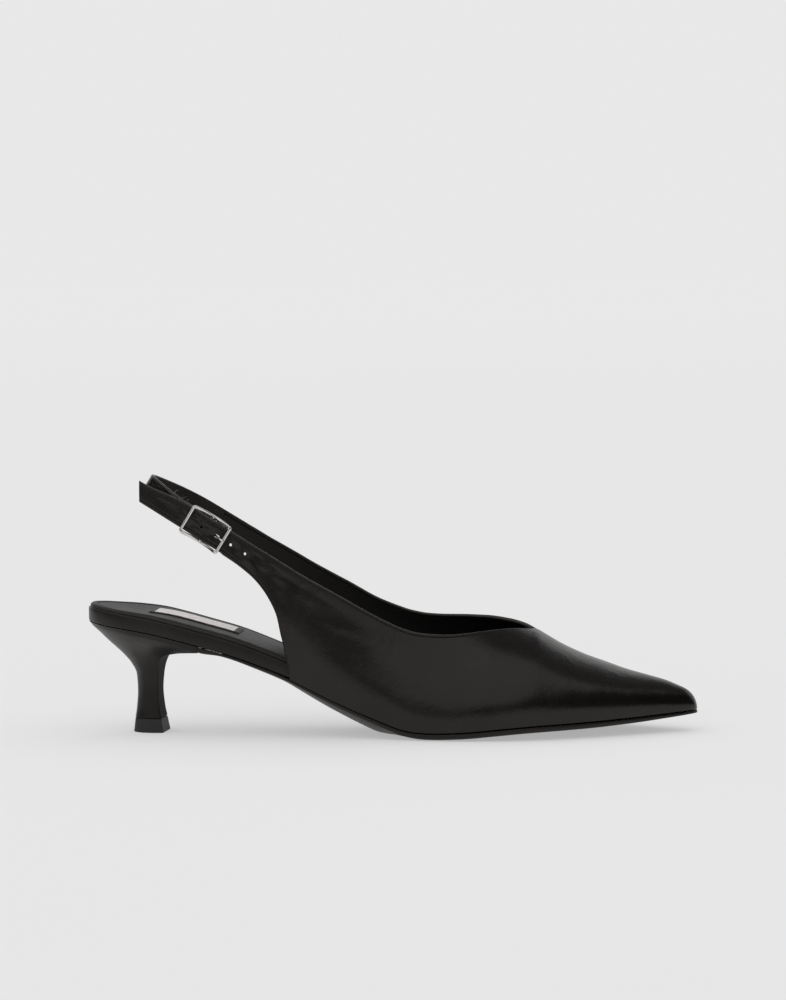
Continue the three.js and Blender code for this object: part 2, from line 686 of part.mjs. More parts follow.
// The billet's sections behind the lateral quarter. It narrows from above behind the buckle, and
// its free end is cut upright.
function billetSections() {
  const half = buckleLength / 2;
  const cutFrom = 1.55 * half;
  const inBuckle = Array.from({ length: 12 }, (_, i) => half * THREE.MathUtils.lerp(-1.03, 0.86, i / 11));
  const beyond = [1.13 * half, cutFrom];
  const cut = [0.25, 0.5, 0.75, 1].map((share) => THREE.MathUtils.lerp(cutFrom, billetLength, share));
  return [...inBuckle, ...beyond, ...cut].map((along) => {
    const slant = Math.tan(slope) * THREE.MathUtils.clamp((along - cutFrom) / (billetLength - cutFrom), 0, 1);
    const narrowing = billetNarrowing * THREE.MathUtils.smoothstep(along, beyond[0], billetLength);
    const topUp = strapWidth / 2 - narrowing;
    const out = upperWall / 2 + billetBulge(along);
    const foot = besideBuckle(along - slant * (strapWidth / 2), -strapWidth / 2, out);
    const top = besideBuckle(along + slant * topUp, topUp, out);
    return wallSection(-1, foot, top, 90, 90, 1 / 3, 1 / 3, wallSteps);
  });
}

// The medial tab's sections, up to the joint with the sling strap
function tabSections() {
  return [0.28, 0.52, 0.76, 1].map((share) => {
    const middle = strapOrigin.clone().addScaledVector(strapBack, (share - 1) * tabLength);
    middle.y = THREE.MathUtils.lerp(ballWidth * strapEnd.medial, loopSpread + strapThickness / 2, share);
    const foot = middle.clone().addScaledVector(strapUp, -strapWidth / 2);
    const top = middle.clone().addScaledVector(strapUp, strapWidth / 2);
    return wallSection(1, foot, top, 90, 90, 1 / 3, 1 / 3, wallSteps);
  });
}

// The inner face of a wall: every point of the outer face moved inwards, square to it. Along the
// closed ridge both sides share their points, so they move square to the ridge itself.
function innerFace(rows, side) {
  return rows.map((row, r) => row.map((point, c) => {
    const before = rows[Math.max(r - 1, 0)];
    const after = rows[Math.min(r + 1, rows.length - 1)];
    const normal = new THREE.Vector3(1, 0, 0);
    if (r > 0 && c === wallSteps && r <= throatRow) {
      const next = r < throatRow ? after[c] : point;
      const along = next.clone().sub(before[c]);
      normal.set(along.z, 0, -along.x).normalize();
    } else if (r > 0) {
      const up = row[Math.min(c + 1, wallSteps)].clone().sub(row[Math.max(c - 1, 0)]);
      normal.copy(up).cross(after[c].clone().sub(before[c])).multiplyScalar(-side).normalize();
    }
    return point.clone().addScaledVector(normal, -upperWall);
  }));
}

const lateralRows = [...sideSections(-1), ...billetSections()];
const medialRows = [...sideSections(1), ...tabSections()];

function upperGeometry() {
  const shell = new Shell();
  for (const [side, outer] of [[-1, lateralRows], [1, medialRows]]) {
    const inner = innerFace(outer, side);
    const quad = (a, b, c, d) => (side < 0 ? shell.quad(a, b, c, d) : shell.quad(d, c, b, a));
    for (let r = 0; r < outer.length - 1; r += 1) {
      for (let c = 0; c < wallSteps; c += 1) {
        quad(outer[r][c], outer[r][c + 1], outer[r + 1][c + 1], outer[r + 1][c]);
        quad(inner[r + 1][c], inner[r + 1][c + 1], inner[r][c + 1], inner[r][c]);
      }
      quad(outer[r][0], outer[r + 1][0], inner[r + 1][0], inner[r][0]);
      if (r >= throatRow) {
        const c = wallSteps;
        quad(outer[r + 1][c], outer[r][c], inner[r][c], inner[r + 1][c]);
      }
    }
    const end = outer.length - 1;
    for (let c = 0; c < wallSteps; c += 1) {
      quad(outer[end][c], outer[end][c + 1], inner[end][c + 1], inner[end][c]);
    }
  }
  return shell.geometry();
}

// Holes through the billet: round ones at even steps, and a longer one where the prong rises
const prongHole = firstHole - holeSpacing;

function punchedUpper() {
  const punchReach = 8 * upperWall;
  let solid = toManifold(upperGeometry());
  for (let i = 0; i < 4; i += 1) {
    const isProngHole = i === 1;
    const length = isProngHole ? prongSlot : holeDiameter;
    const width = isProngHole ? 1.15 : 1;
    const punch = new THREE.CylinderGeometry(holeDiameter / 2, holeDiameter / 2, punchReach, 14);
    punch.scale(length / holeDiameter, 1, width);
    punch.applyMatrix4(billetFrame);
    const centre = besideBuckle(firstHole - i * holeSpacing, 0, 0);
    punch.translate(centre.x, centre.y, centre.z);
    solid = solid.subtract(toManifold(welded(punch)));
  }
  return fromManifold(solid);
}

// Heel: its levels are scaled copies of the seat's outline
function heelRing(level) {
  const steps = 11;
  const seatBack = seamHeight(heelBack) - gap;
  const seatFront = seamHeight(heelBack + heelSeatLength) - gap;
  const half = (side) => Array.from({ length: steps + 1 }, (_, i) => {
    const along = 1 - Math.cos((i / steps) * (Math.PI / 2));
    const seat = outlinePoint(side, turnAt(heelBack + heelSeatLength * along));
    const drop = (seatBack + gap - seamHeight(seat.x)) / (seatBack - seatFront);
    const y = (seat.y / (heelSeatWidth / 2)) * level.halfWidth;
    const skew = breastSkew * y * along * level.turned;
    const x = THREE.MathUtils.lerp(level.backX, level.breastX, along) + skew;
    return new THREE.Vector3(x, y, THREE.MathUtils.lerp(level.backZ, level.breastZ, drop));
  });
  return [...half(-1).reverse(), ...half(1).slice(1)];
}

const liftTop = topLiftThickness + gap;

function heelLevel(at) {
  const read = (column) => reading(heelLevels, column, at);
  const height = (column, x) => THREE.MathUtils.lerp(liftTop, seamHeight(x) - gap, read(column));
  return {
    backX: heelBack + heelSeatLength * read("back"),
    breastX: heelBack + heelSeatLength * read("breast"),
    backZ: height("backHeight", heelBack),
    breastZ: height("breastHeight", heelBack + heelSeatLength),
    halfWidth: (heelSeatWidth / 2) * read("width"),
    turned: THREE.MathUtils.smoothstep(at, 0.3, 0.6),
  };
}

function heelGeometry() {
  const steps = 22;
  const rings = Array.from({ length: steps + 1 }, (_, i) => heelRing(heelLevel(i / steps)));
  return loft(rings, "rungs", "rungs");
}

// Top lift: the flared rubber block that the heel walks on
function topLiftGeometry() {
  const heel = heelLevel(1);
  const flared = (share, z) => ({
    ...heel,
    backX: heel.backX - topLiftFlare * share,
    breastX: heel.breastX + 1.5 * topLiftFlare * share,
    halfWidth: heel.halfWidth + topLiftFlare * share,
    backZ: z,
    breastZ: z,
  });
  const levels = [flared(0.1, topLiftThickness), flared(0.5, topLiftThickness / 2), flared(1, 0)];
  return loft(levels.map(heelRing), "rungs", "rungs");
}

// Buckle: a plain rectangular frame whose rails dip to a centre bar. The billet passes under the
// frame's two ends and over the bar, and the sling strap is folded around the bar.
const foldThickness = strapThickness * 0.61;
const barDepth = upperWall / 2 - billetLift + 2 * gap + foldThickness + centreBarRadius;
const frameOut = upperWall / 2 + gap + buckleDepth / 2;
const halfLength = (buckleLength - buckleBar) / 2;
const halfWidth = strapWidth / 2 + gap + buckleBar / 2;

function frameGeometry() {
  const corner = buckleCorner;
  const railSteps = 10;
  const path = [];
  const centres = [[1, 1], [-1, 1], [-1, -1], [1, -1]];
  centres.forEach(([alongSign, upSign], k) => {
    const startAngle = (k * Math.PI) / 2;
    for (let i = 0; i <= 3; i += 1) {
      const angle = startAngle + (i / 3) * (Math.PI / 2);
      const along = alongSign * (halfLength - corner) + corner * Math.cos(angle);
      const up = upSign * (halfWidth - corner) + corner * Math.sin(angle);
      path.push({ along, up, facing: angle });
    }
    if (k % 2 === 1) return;
    for (let i = 1; i < railSteps; i += 1) {
      const along = alongSign * (halfLength - corner) * (1 - (2 * i) / railSteps);
      path.push({ along, up: upSign * halfWidth, facing: startAngle + Math.PI / 2 });
    }
  });
  const section = [[1, 0.6], [0.6, 1], [-0.6, 1], [-1, 0.6], [-1, -0.6], [-0.6, -1], [0.6, -1], [1, -0.6]];
  const rings = path.map(({ along, up, facing }) => {
    const dip = 1 - Math.min(Math.abs(along) / (halfLength - corner), 1) ** 1.7;
    const out = THREE.MathUtils.lerp(frameOut, -barDepth, dip);
    return section.map(([sideways, outwards]) => besideBuckle(
      along + ((sideways * buckleBar) / 2) * Math.cos(facing),
      up + ((sideways * buckleBar) / 2) * Math.sin(facing),
      out + (outwards * buckleDepth) / 2,
    ));
  });
  const ring = loft([...rings, rings[0]], "folded", "folded");
  const bar = new THREE.CylinderGeometry(centreBarRadius, centreBarRadius, 2 * halfWidth, 14);
  const forward = alongBillet.clone().negate();
  bar.applyMatrix4(new THREE.Matrix4().makeBasis(forward, strapUp, outOfBillet));
  const middle = besideBuckle(0, 0, -barDepth);
  bar.translate(middle.x, middle.y, middle.z);
  return fromManifold(toManifold(ring).add(toManifold(welded(bar))));
}

// Prong: a round wire wrapped around the centre bar, rising through its hole in the billet and
// resting on the frame's bar towards the toe
function prongGeometry() {
  const wrap = centreBarRadius + gap + prongRadius;
  const turns = Array.from({ length: 13 }, (_, i) => THREE.MathUtils.degToRad(200 + (250 * i) / 12));
  const hook = turns.map((angle) => [wrap * Math.cos(angle), -barDepth + wrap * Math.sin(angle)]);
  const rest = frameOut + buckleDepth / 2 + gap + prongRadius;
  const shank = prongPath.map(({ reach, rise }) => [
    prongHole * reach,
    THREE.MathUtils.lerp(-barDepth + wrap, rest, rise),
  ]);
  const tip = [-halfLength - buckleBar * 0.45, rest];
  const points = [...hook, ...shank, tip].map(([along, out]) => new THREE.Vector3(along, out, 0));
  const curve = new THREE.CatmullRomCurve3(points, false, "centripetal");
  const steps = 32;
  const rings = Array.from({ length: steps + 1 }, (_, i) => {
    const t = i / steps;
    const spot = curve.getPoint(t);
    const heading = curve.getTangent(t);
    const radius = prongRadius * (t > 0.97 ? 0.8 : 1);
    return Array.from({ length: 8 }, (__, j) => {
      const angle = (j / 8) * Math.PI * 2;
      const sideways = radius * Math.cos(angle);
      return besideBuckle(
        spot.x - heading.y * sideways,
        radius * Math.sin(angle),
        spot.y + heading.x * sideways,
      );
    });
  });
  return loft(rings, "fan", "fan");
}

// Sling strap: one band of even width around the heel, which lies in the sloping plane and ends
// in a fold around the buckle's centre bar
function slingStrapGeometry() {
  const loopPoint = (row) => {
    const back = THREE.MathUtils.lerp(gap, loopDepth, row.back);
    return new THREE.Vector3(row.side * loopSpread, back, strapThickness);
  };
  const foldPoint = (along, depth, thickness) => new THREE.Vector3(
    buckleMiddle.y + along * Math.sin(billetTurn) + depth * Math.cos(billetTurn),
    along * Math.cos(billetTurn) - depth * Math.sin(billetTurn) - buckleForward,
    thickness,
  );
  const row = (fold) => foldPoint(
    (fold.along * buckleLength) / 2,
    fold.depth * barDepth,
    fold.thickness * strapThickness,
  );
  const bend = centreBarRadius + gap + foldThickness / 2;
  const around = [75, 110, 145, 180, 215, 250, 285].map((degrees) => {
    const angle = THREE.MathUtils.degToRad(degrees);
    return foldPoint(bend * Math.cos(angle), barDepth - bend * Math.sin(angle), foldThickness);
  });
  const points = [...slingLoop.map(loopPoint), ...slingFold.map(row), ...around, ...slingFlap.map(row)];
  const curve = new THREE.CatmullRomCurve3(points, false, "centripetal");
  const steps = 96;
  const left = [];
  const right = [];
  for (let i = 0; i <= steps; i += 1) {
    const spot = curve.getPoint(i / steps);
    const heading = curve.getTangent(i / steps);
    const square = new THREE.Vector2(-heading.y, heading.x).normalize().multiplyScalar(spot.z / 2);
    left.push(new THREE.Vector2(spot.x + square.x, spot.y + square.y));
    right.push(new THREE.Vector2(spot.x - square.x, spot.y - square.y));
  }
  const band = new THREE.ExtrudeGeometry(new THREE.Shape([...left, ...right.reverse()]), {
    depth: strapWidth,
    bevelEnabled: false,
  });
  band.translate(0, 0, -strapWidth / 2);
  band.applyMatrix4(new THREE.Matrix4().makeBasis(new THREE.Vector3(0, 1, 0), strapBack, strapUp));
  band.translate(strapOrigin.x, strapOrigin.y, strapOrigin.z);
  const slotWidth = 2 * (prongRadius + gap);
  const slotDepth = 2 * barDepth + foldThickness;
  const slot = new THREE.BoxGeometry(1.7 * (centreBarRadius + bend), slotDepth, slotWidth);
  slot.translate(0, -barDepth, 0);
  slot.applyMatrix4(billetFrame);
  slot.translate(buckleMiddle.x, buckleMiddle.y, buckleMiddle.z);
  return fromManifold(toManifold(welded(band)).subtract(toManifold(welded(slot))));
}

// Finishes
const leather = { color: black, roughness: 0.42, metalness: 0 };
const rubber = { color: black, roughness: 0.7, metalness: 0 };
const cloth = { color: new THREE.Color(0xcdc3bf), roughness: 0.9, metalness: 0 };
const metal = { color: new THREE.Color(0xd8d8da), roughness: 0.15, metalness: 1 };

const pump = new THREE.Group();

function add(name, geometry, finish) {
  const mesh = new THREE.Mesh(geometry, new THREE.MeshStandardMaterial(finish));
  mesh.name = name;
  pump.add(mesh);
}

add("outsole", outsoleGeometry(), leather);
add("insole", insoleGeometry(), leather);
add("sock", sockGeometry(), leather);
add("label", labelGeometry(), cloth);
add("upper", punchedUpper(), leather);
add("heel", heelGeometry(), leather);
add("top_lift", topLiftGeometry(), rubber);
add("sling_strap", slingStrapGeometry(), leather);
add("buckle_frame", frameGeometry(), metal);
add("buckle_prong", prongGeometry(), metal);

// The shoe stands with the middle of its length and width over the origin.
const middle = new THREE.Box3().setFromObject(pump).getCenter(new THREE.Vector3());
for (const mesh of pump.children) mesh.geometry.translate(-middle.x, -middle.y, 0);

export default pump;
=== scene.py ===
import bmesh
import bpy
import numpy as np
from mathutils import Matrix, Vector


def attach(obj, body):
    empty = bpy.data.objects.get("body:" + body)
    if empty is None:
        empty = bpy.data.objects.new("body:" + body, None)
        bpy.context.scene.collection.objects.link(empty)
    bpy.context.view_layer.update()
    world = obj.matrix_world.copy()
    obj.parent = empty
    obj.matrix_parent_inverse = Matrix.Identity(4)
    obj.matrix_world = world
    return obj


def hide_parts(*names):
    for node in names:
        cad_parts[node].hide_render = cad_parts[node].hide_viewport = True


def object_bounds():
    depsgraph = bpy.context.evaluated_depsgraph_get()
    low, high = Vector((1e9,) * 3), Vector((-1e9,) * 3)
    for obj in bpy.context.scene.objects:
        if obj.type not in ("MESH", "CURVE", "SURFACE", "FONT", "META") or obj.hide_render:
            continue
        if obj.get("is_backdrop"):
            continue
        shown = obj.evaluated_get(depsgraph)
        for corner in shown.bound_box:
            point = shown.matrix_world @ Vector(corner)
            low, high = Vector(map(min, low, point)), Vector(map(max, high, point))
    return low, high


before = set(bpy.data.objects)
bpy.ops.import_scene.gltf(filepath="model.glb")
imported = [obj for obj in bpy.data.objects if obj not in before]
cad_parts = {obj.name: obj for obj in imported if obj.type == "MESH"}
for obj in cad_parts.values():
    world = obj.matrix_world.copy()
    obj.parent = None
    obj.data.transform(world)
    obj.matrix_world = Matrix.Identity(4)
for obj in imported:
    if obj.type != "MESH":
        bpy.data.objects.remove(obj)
cad_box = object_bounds()

# Outsole
# One thin sole of dense black leather from the heel breast to the toe. It is domed and bevelled
# under the waist, flat where it treads, and cemented under the upper with a fine rim showing.
LENGTH = 262.0
BALL_WIDTH = 75.0
SEAT_WIDTH = 50.4
HEEL_HEIGHT = 48.6
TOE_SPRING = 6.2
GAP = 0.3
WALL = 1.6
SOLE_THICKNESS = 2.7
SOLE_EDGE = 2.3
WAIST_DOME = 4.7
SEAT_LENGTH = 50.0
HEEL_BACK = -LENGTH / 2
UPPER_OFFSET = WALL + GAP
INSOLE_LENGTH = LENGTH - UPPER_OFFSET
SEAM_AT_BALL = SOLE_THICKNESS + GAP
PLACE = np.array([-0.009, 1.685, 0.0])


def table(names, *rows):
    """A table with named columns, one row for each section."""
    return dict(zip(names.split(), np.array(rows, float).T))


OUTLINE = table(
    "at lateral medial",
    (0, 0, 0), (0.031, 0.213, 0.213), (0.077, 0.307, 0.307), (0.135, 0.341, 0.341),
    (0.231, 0.337, 0.317), (0.346, 0.341, 0.24), (0.461, 0.389, 0.248), (0.577, 0.471, 0.337),
    (0.646, 0.501, 0.417), (0.711, 0.488, 0.455), (0.769, 0.437, 0.449), (0.827, 0.352, 0.397),
    (0.884, 0.245, 0.305), (0.942, 0.123, 0.181), (0.977, 0.052, 0.111), (1, -0.032, 0.032),
)
SEAM = table(
    "at rise spring",
    (0, 1, 0), (0.038, 0.971, 0), (0.076, 0.944, 0), (0.115, 0.906, 0), (0.153, 0.852, 0),
    (0.198, 0.781, 0), (0.244, 0.706, 0), (0.29, 0.612, 0), (0.336, 0.506, 0), (0.374, 0.4, 0),
    (0.412, 0.294, 0), (0.45, 0.197, 0), (0.481, 0.124, 0), (0.504, 0.072, 0), (0.527, 0.028, 0),
    (0.553, 0.005, 0), (0.58, 0, 0.01), (0.622, 0, 0.08), (0.676, 0, 0.27), (0.725, 0, 0.44),
    (0.782, 0, 0.55), (0.84, 0, 0.63), (0.897, 0, 0.73), (0.947, 0, 0.84), (1, 0, 1),
)
SOLE_SECTIONS = table(
    "at edge dome reach",
    (0.196, 1.02, 0.3, -0.25), (0.233, 0.58, 0.24, -0.25), (0.282, 0.62, 0.34, -0.2),
    (0.326, 0.66, 0.38, 0.1), (0.355, 0.7, 0.56, 0.6), (0.388, 0.76, 0.72, 1),
    (0.421, 0.8, 0.82, 1.1), (0.459, 0.84, 0.94, 1.15), (0.477, 0.86, 0.98, 1.15),
    (0.5, 0.88, 0.74, 1.15), (0.519, 0.9, 0.42, 1.15), (0.546, 0.95, 0.2, 1.15),
    (0.565, 1, 0.12, 1.15), (0.6, 1, 0.13, 1.15), (0.66, 1, 0.13, 1.15), (0.8, 1, 0.11, 1.15),
    (0.9, 0.85, 0.1, 1.1), (0.96, 0.62, 0.09, 1.05), (1, 0.5, 0.02, 1),
)
TREAD = (0.546, 0.6)
TREAD_WIDTH = 0.36


def lerp(a, b, share):
    """A value part of the way from a to b."""
    return a + (b - a) * share


def smooth(value, low, high):
    """0 below low, 1 above high, and t squared times (3 - 2 t) between them."""
    t = np.clip((value - low) / (high - low), 0, 1)
    return t * t * (3 - 2 * t)


def unit(vectors):
    """Vectors scaled to length one, along the last axis."""
    size = np.linalg.norm(vectors, axis=-1, keepdims=True)
    return vectors / np.maximum(size, 1e-9)


def cubic(t, start, leave, end, arrive):
    """A cubic curve from start to end at t from 0 to 1, with its slopes at both ends."""
    first = (1 + 2 * t) * (1 - t) ** 2 * start + t * (1 - t) ** 2 * leave
    return first + t ** 2 * (3 - 2 * t) * end + t ** 2 * (t - 1) * arrive


def reading(rows, column, at, ease=lambda share: share):
    """A column of a table read off a cubic through its rows, whose slope at each row is the
    harmonic mean of the slopes on both sides, and zero at a peak, so that it never overshoots."""
    places, values = ease(rows["at"]), rows[column]
    place = np.clip(ease(np.asarray(at, float)), places[0], places[-1])
    rise = np.diff(values) / np.diff(places)
    agree = rise[:-1] * rise[1:] > 0
    total = np.where(agree, rise[:-1] + rise[1:], 1)
    middle = np.where(agree, 2 * rise[:-1] * rise[1:] / total, 0)
    slopes = np.concatenate([rise[:1], middle, rise[-1:]])
    span = np.clip(np.searchsorted(places, place) - 1, 0, len(rise) - 1)
    width = places[span + 1] - places[span]
    t = (place - places[span]) / width
    leave, arrive = width * slopes[span], width * slopes[span + 1]
    return cubic(t, values[span], leave, values[span + 1], arrive)


def round_ends(share):
    """Turn from 0 to pi at a share of the length: the arc cosine of 1 - 2 share."""
    return np.arccos(np.clip(1 - 2 * np.asarray(share, float), -1, 1))


def share_at(x):
    """How far along the shoe a place is, from 0 at the heel to 1 at the toe."""
    return np.clip((x - HEEL_BACK) / LENGTH, 0, 1)


def x_at(share):
    """The place at a share of the shoe's length."""
    return HEEL_BACK + share * LENGTH


def turn_at(x):
    """The insole's turn, from 0 at the heel to pi at the toe, at a place along the shoe."""
    return round_ends((x - HEEL_BACK) / INSOLE_LENGTH)


def seam_height(x):
    """Height of the line where upper and insole meet the sole: the heel's rise times one curve
    plus the toe spring times another."""
    share = share_at(x)
    rise = (HEEL_HEIGHT - SEAM_AT_BALL) * reading(SEAM, "rise", share)
    return SEAM_AT_BALL + rise + TOE_SPRING * reading(SEAM, "spring", share)


def outline(side, turn, offset=0.0):
    """Points (x, y) of the insole's outline on side -1 or 1 at turns from heel to toe, moved
    square to it by the offset, which is the tangent turned by a quarter."""
    column = "lateral" if side < 0 else "medial"

    def spot(angle):
        share = (1 - np.cos(angle)) / 2
        y = side * BALL_WIDTH * reading(OUTLINE, column, share, round_ends)
        return np.stack([HEEL_BACK + INSOLE_LENGTH * share, y], -1)

    step = 0.002
    tangent = unit(spot(turn + step) - spot(turn - step))
    outward = np.stack([-tangent[..., 1] * side, tangent[..., 0] * side], -1)
    outward = np.where((turn < step)[..., None], [-1.0, 0.0], outward)
    outward = np.where((turn > np.pi - step)[..., None], [1.0, 0.0], outward)
    return spot(turn) + outward * np.asarray(offset)[..., None]


def slab(turn, bottom, top, levels, columns):
    """Rings of a slab along the outline. Each runs across the bottom from the lateral to the
    medial side, up the medial levels, back across the top and down the lateral levels. A level
    is an offset from the outline and a height as a function of x and y."""
    def corner(side, level):
        spot = outline(side, turn, level[0] * np.ones_like(turn))
        return np.column_stack([spot, level[1](spot[:, 0], spot[:, 1])])

    def across(start, end, height):
        share = (np.arange(1, columns) / columns)[:, None, None]
        line = lerp(start, end, share)
        line[..., 2] = height(line[..., 0], line[..., 1], start[:, 1], end[:, 1])
        return list(line)

    lateral = [corner(-1, level) for level in levels]
    medial = [corner(1, level) for level in levels]
    ring = [lateral[0], *across(lateral[0], medial[0], bottom), *medial]
    ring += [*across(medial[-1], lateral[-1], top), *lateral[:0:-1]]
    return np.stack(ring, 1)


def skin(name, sheets, sharp=35):
    """One closed skin. Each sheet is a grid of points in millimetres with quads between
    neighbours, whether its columns run round into a ring, and values kept at its points. Edges
    that lie on each other are welded, and edges steeper than the angle stay sharp."""
    points, faces, kept, count = [], [], {}, 0
    for grid, ring, values in sheets:
        rows, columns = grid.shape[:2]
        i = np.arange(rows - 1)[:, None] * columns
        j = np.arange(columns if ring else columns - 1)[None, :]
        k = (j + 1) % columns
        corners = [i + j, i + k, i + columns + k, i + columns + j]
        faces.append(np.stack(corners, -1).reshape(-1, 4) + count)
        points.append(grid.reshape(-1, 3))
        for key, value in values.items():
            kept.setdefault(key, []).append(np.broadcast_to(value, (rows, columns)).ravel())
        count += rows * columns
    points = (np.concatenate(points) + PLACE) / 1000
    faces = np.concatenate(faces)
    mesh = bpy.data.meshes.new(name)
    mesh.vertices.add(len(points))
    mesh.vertices.foreach_set("co", points.ravel())
    mesh.loops.add(faces.size)
    mesh.loops.foreach_set("vertex_index", faces.ravel())
    mesh.polygons.add(len(faces))
    mesh.polygons.foreach_set("loop_start", np.arange(0, faces.size, 4))
    mesh.update(calc_edges=True)
    for key, value in kept.items():
        mesh.attributes.new(key, "FLOAT", "POINT").data.foreach_set("value", np.concatenate(value))
    welded = bmesh.new()
    welded.from_mesh(mesh)
    bmesh.ops.remove_doubles(welded, verts=welded.verts, dist=2e-6)
    bmesh.ops.dissolve_degenerate(welded, edges=welded.edges, dist=1e-7)
    bmesh.ops.recalc_face_normals(welded, faces=welded.faces)
    welded.to_mesh(mesh)
    welded.free()
    mesh.shade_smooth()
    mesh.set_sharp_from_angle(angle=np.radians(sharp))
    piece = bpy.data.objects.new(name, mesh)
    bpy.context.scene.collection.objects.link(piece)
    return piece


def ends(grid, **values):
    """Two fans that close the first and last ring of a grid around their middles."""
    caps = []
    for ring in (grid[0], grid[-1]):
        middle = np.broadcast_to(ring.mean(0), ring.shape)
        caps.append((np.stack([ring, middle]), True, values))
    return caps


def belongs(piece, finish, slot, *nodes):
    """Gives a piece its finish, hides the CAD parts it replaces and hangs it under the root. Its
    slot is not used.
    """
    piece.data.materials.clear()
    piece.data.materials.append(finish.material)
    if nodes:
        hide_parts(*nodes)
    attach(piece, "root")


class Value:
    """A number, colour or vector in a material. Sums and products on it add Math nodes."""

    def __init__(self, finish, socket):
        self.finish, self.socket = finish, socket

    def math(self, operation, a, b=0.0):
        return self.finish.node("Math", {"operation": operation}, {0: a, 1: b})

    def __add__(self, other):
        return self.math("ADD", self, other)

    def __radd__(self, other):
        return self.math("ADD", other, self)

    def __sub__(self, other):
        return self.math("SUBTRACT", self, other)

    def __rsub__(self, other):
        return self.math("SUBTRACT", other, self)

    def __mul__(self, other):
        return self.math("MULTIPLY", self, other)

    def __rmul__(self, other):
        return self.math("MULTIPLY", other, self)

    def __abs__(self):
        return self.math("ABSOLUTE", self)

    def fade(self, low, high):
        """0 below low and 1 above high, or the other way round, with soft ends."""
        inputs = {"Value": self, "From Min": low, "From Max": high}
        return self.finish.node("MapRange", {"interpolation_type": "SMOOTHSTEP"}, inputs)


class Finish:
    """A material with one Principled shader. node() adds any other node, and mm is the place on
    the object in millimetres."""

    def __init__(self, name, **fixed):
        self.material = bpy.data.materials.new(name)
        self.material.use_nodes = True
        self.tree = self.material.node_tree
        self.shader = self.tree.nodes["Principled BSDF"]
        for key, value in fixed.items():
            socket = key.replace("_", " ").title().replace("Ior", "IOR")
            self.shader.inputs[socket].default_value = value
        place = self.node("TexCoord", {}, {}, "Object")
        self.mm = self.node("VectorMath", {"operation": "SCALE"}, {0: place, "Scale": 1000.0})

    def put(self, socket, value):
        """Links a value to a socket, or writes a plain number, colour or vector into it."""
        if isinstance(value, Value):
            self.tree.links.new(value.socket, socket)
        else:
            socket.default_value = value

    def node(self, kind, settings, inputs, output=0):
        """Adds a node with its settings and inputs, and gives one of its outputs."""
        made = self.tree.nodes.new("ShaderNode" + kind)
        for key, value in settings.items():
            setattr(made, key, value)
        for key, value in inputs.items():
            self.put(made.inputs[key], value)
        return Value(self, made.outputs[output])

    def set(self, name, value):
        """Gives one input of the Principled shader its value."""
        self.put(self.shader.inputs[name], value)

    def noise(self, size, detail=2.0, roughness=0.5, place=None):
        """Soft noise from 0 to 1 whose blotches are about size millimetres across."""
        inputs = {"Vector": place or self.mm, "Scale": 1.0 / size, "Detail": detail}
        return self.node("TexNoise", {}, {**inputs, "Roughness": roughness})

    def cells(self, size, smoothness=0.6):
        """Distance to the middle of soft cells of that size in millimetres."""
        inputs = {"Vector": self.mm, "Scale": 1.0 / size, "Smoothness": smoothness}
        return self.node("TexVoronoi", {"feature": "SMOOTH_F1"}, inputs)

    def kept(self, name):
        """A value kept at the piece's own points."""
        return self.node("Attribute", {"attribute_name": name}, {}, "Fac")

    def mix(self, share, a, b):
        """One colour fading into another by a share. A plain colour is three numbers."""
        a, b = [(*shade, 1) if isinstance(shade, tuple) else shade for shade in (a, b)]
        return self.node("Mix", {"data_type": "RGBA"}, {0: share, 6: a, 7: b}, 2)

    def clouds(self, size, dark, light, detail=2.0):
        """A colour that drifts between two in blotches of about size millimetres."""
        return self.mix(self.noise(size, detail), dark, light)

    def bump(self, height, distance):
        """Relief that is seen in the shading only, its distance in millimetres."""
        self.set("Normal", self.node("Bump", {}, {"Height": height, "Distance": distance / 1000}))


def leather(name, dark, light, roughness, grain, gloss=0.35):
    """Smooth dyed leather: fine soft grain, faint clouds of lighter dye, and gloss that changes
    a little over the hide."""
    finish = Finish(
        name, specular_ior_level=gloss, specular_tint=(1.0, 0.93, 0.89, 1), coat_roughness=0.22,
    )
    finish.hide = finish.mix(finish.noise(22, 3.0).fade(0.35, 0.75), dark, light)
    finish.set("Base Color", finish.hide)
    finish.set("Roughness", roughness + 0.1 * (finish.noise(7, 3.0) - 0.5))
    pores = finish.cells(0.55) * 0.5 + finish.noise(0.9, 4.0) * 0.6
    finish.bump(pores + finish.noise(5, 3.0) * 4.0, grain)
    return finish


sole_turns = np.concatenate([
    np.linspace(turn_at(HEEL_BACK + SEAT_LENGTH), turn_at(x_at(TREAD[0])), 90)[:-1],
    np.linspace(turn_at(x_at(TREAD[0])), turn_at(x_at(TREAD[1])), 9),
    np.linspace(turn_at(x_at(TREAD[1])), np.pi, 120)[1:],
])
sole_share = share_at(outline(-1, sole_turns)[:, 0])
sole_reach = UPPER_OFFSET * reading(SOLE_SECTIONS, "reach", sole_share)
sole_bevel = 0.35 * SOLE_EDGE * (1 - np.abs(np.cos(sole_turns)) ** 8)


def sole_top(x, *_):
    """The sole's top lies just under the seam line."""
    return seam_height(x) - GAP


def sole_edge(x):
    """The sole's thickness at its edge, which is bevelled under the waist and at the toe."""
    return SOLE_EDGE * reading(SOLE_SECTIONS, "edge", share_at(x))


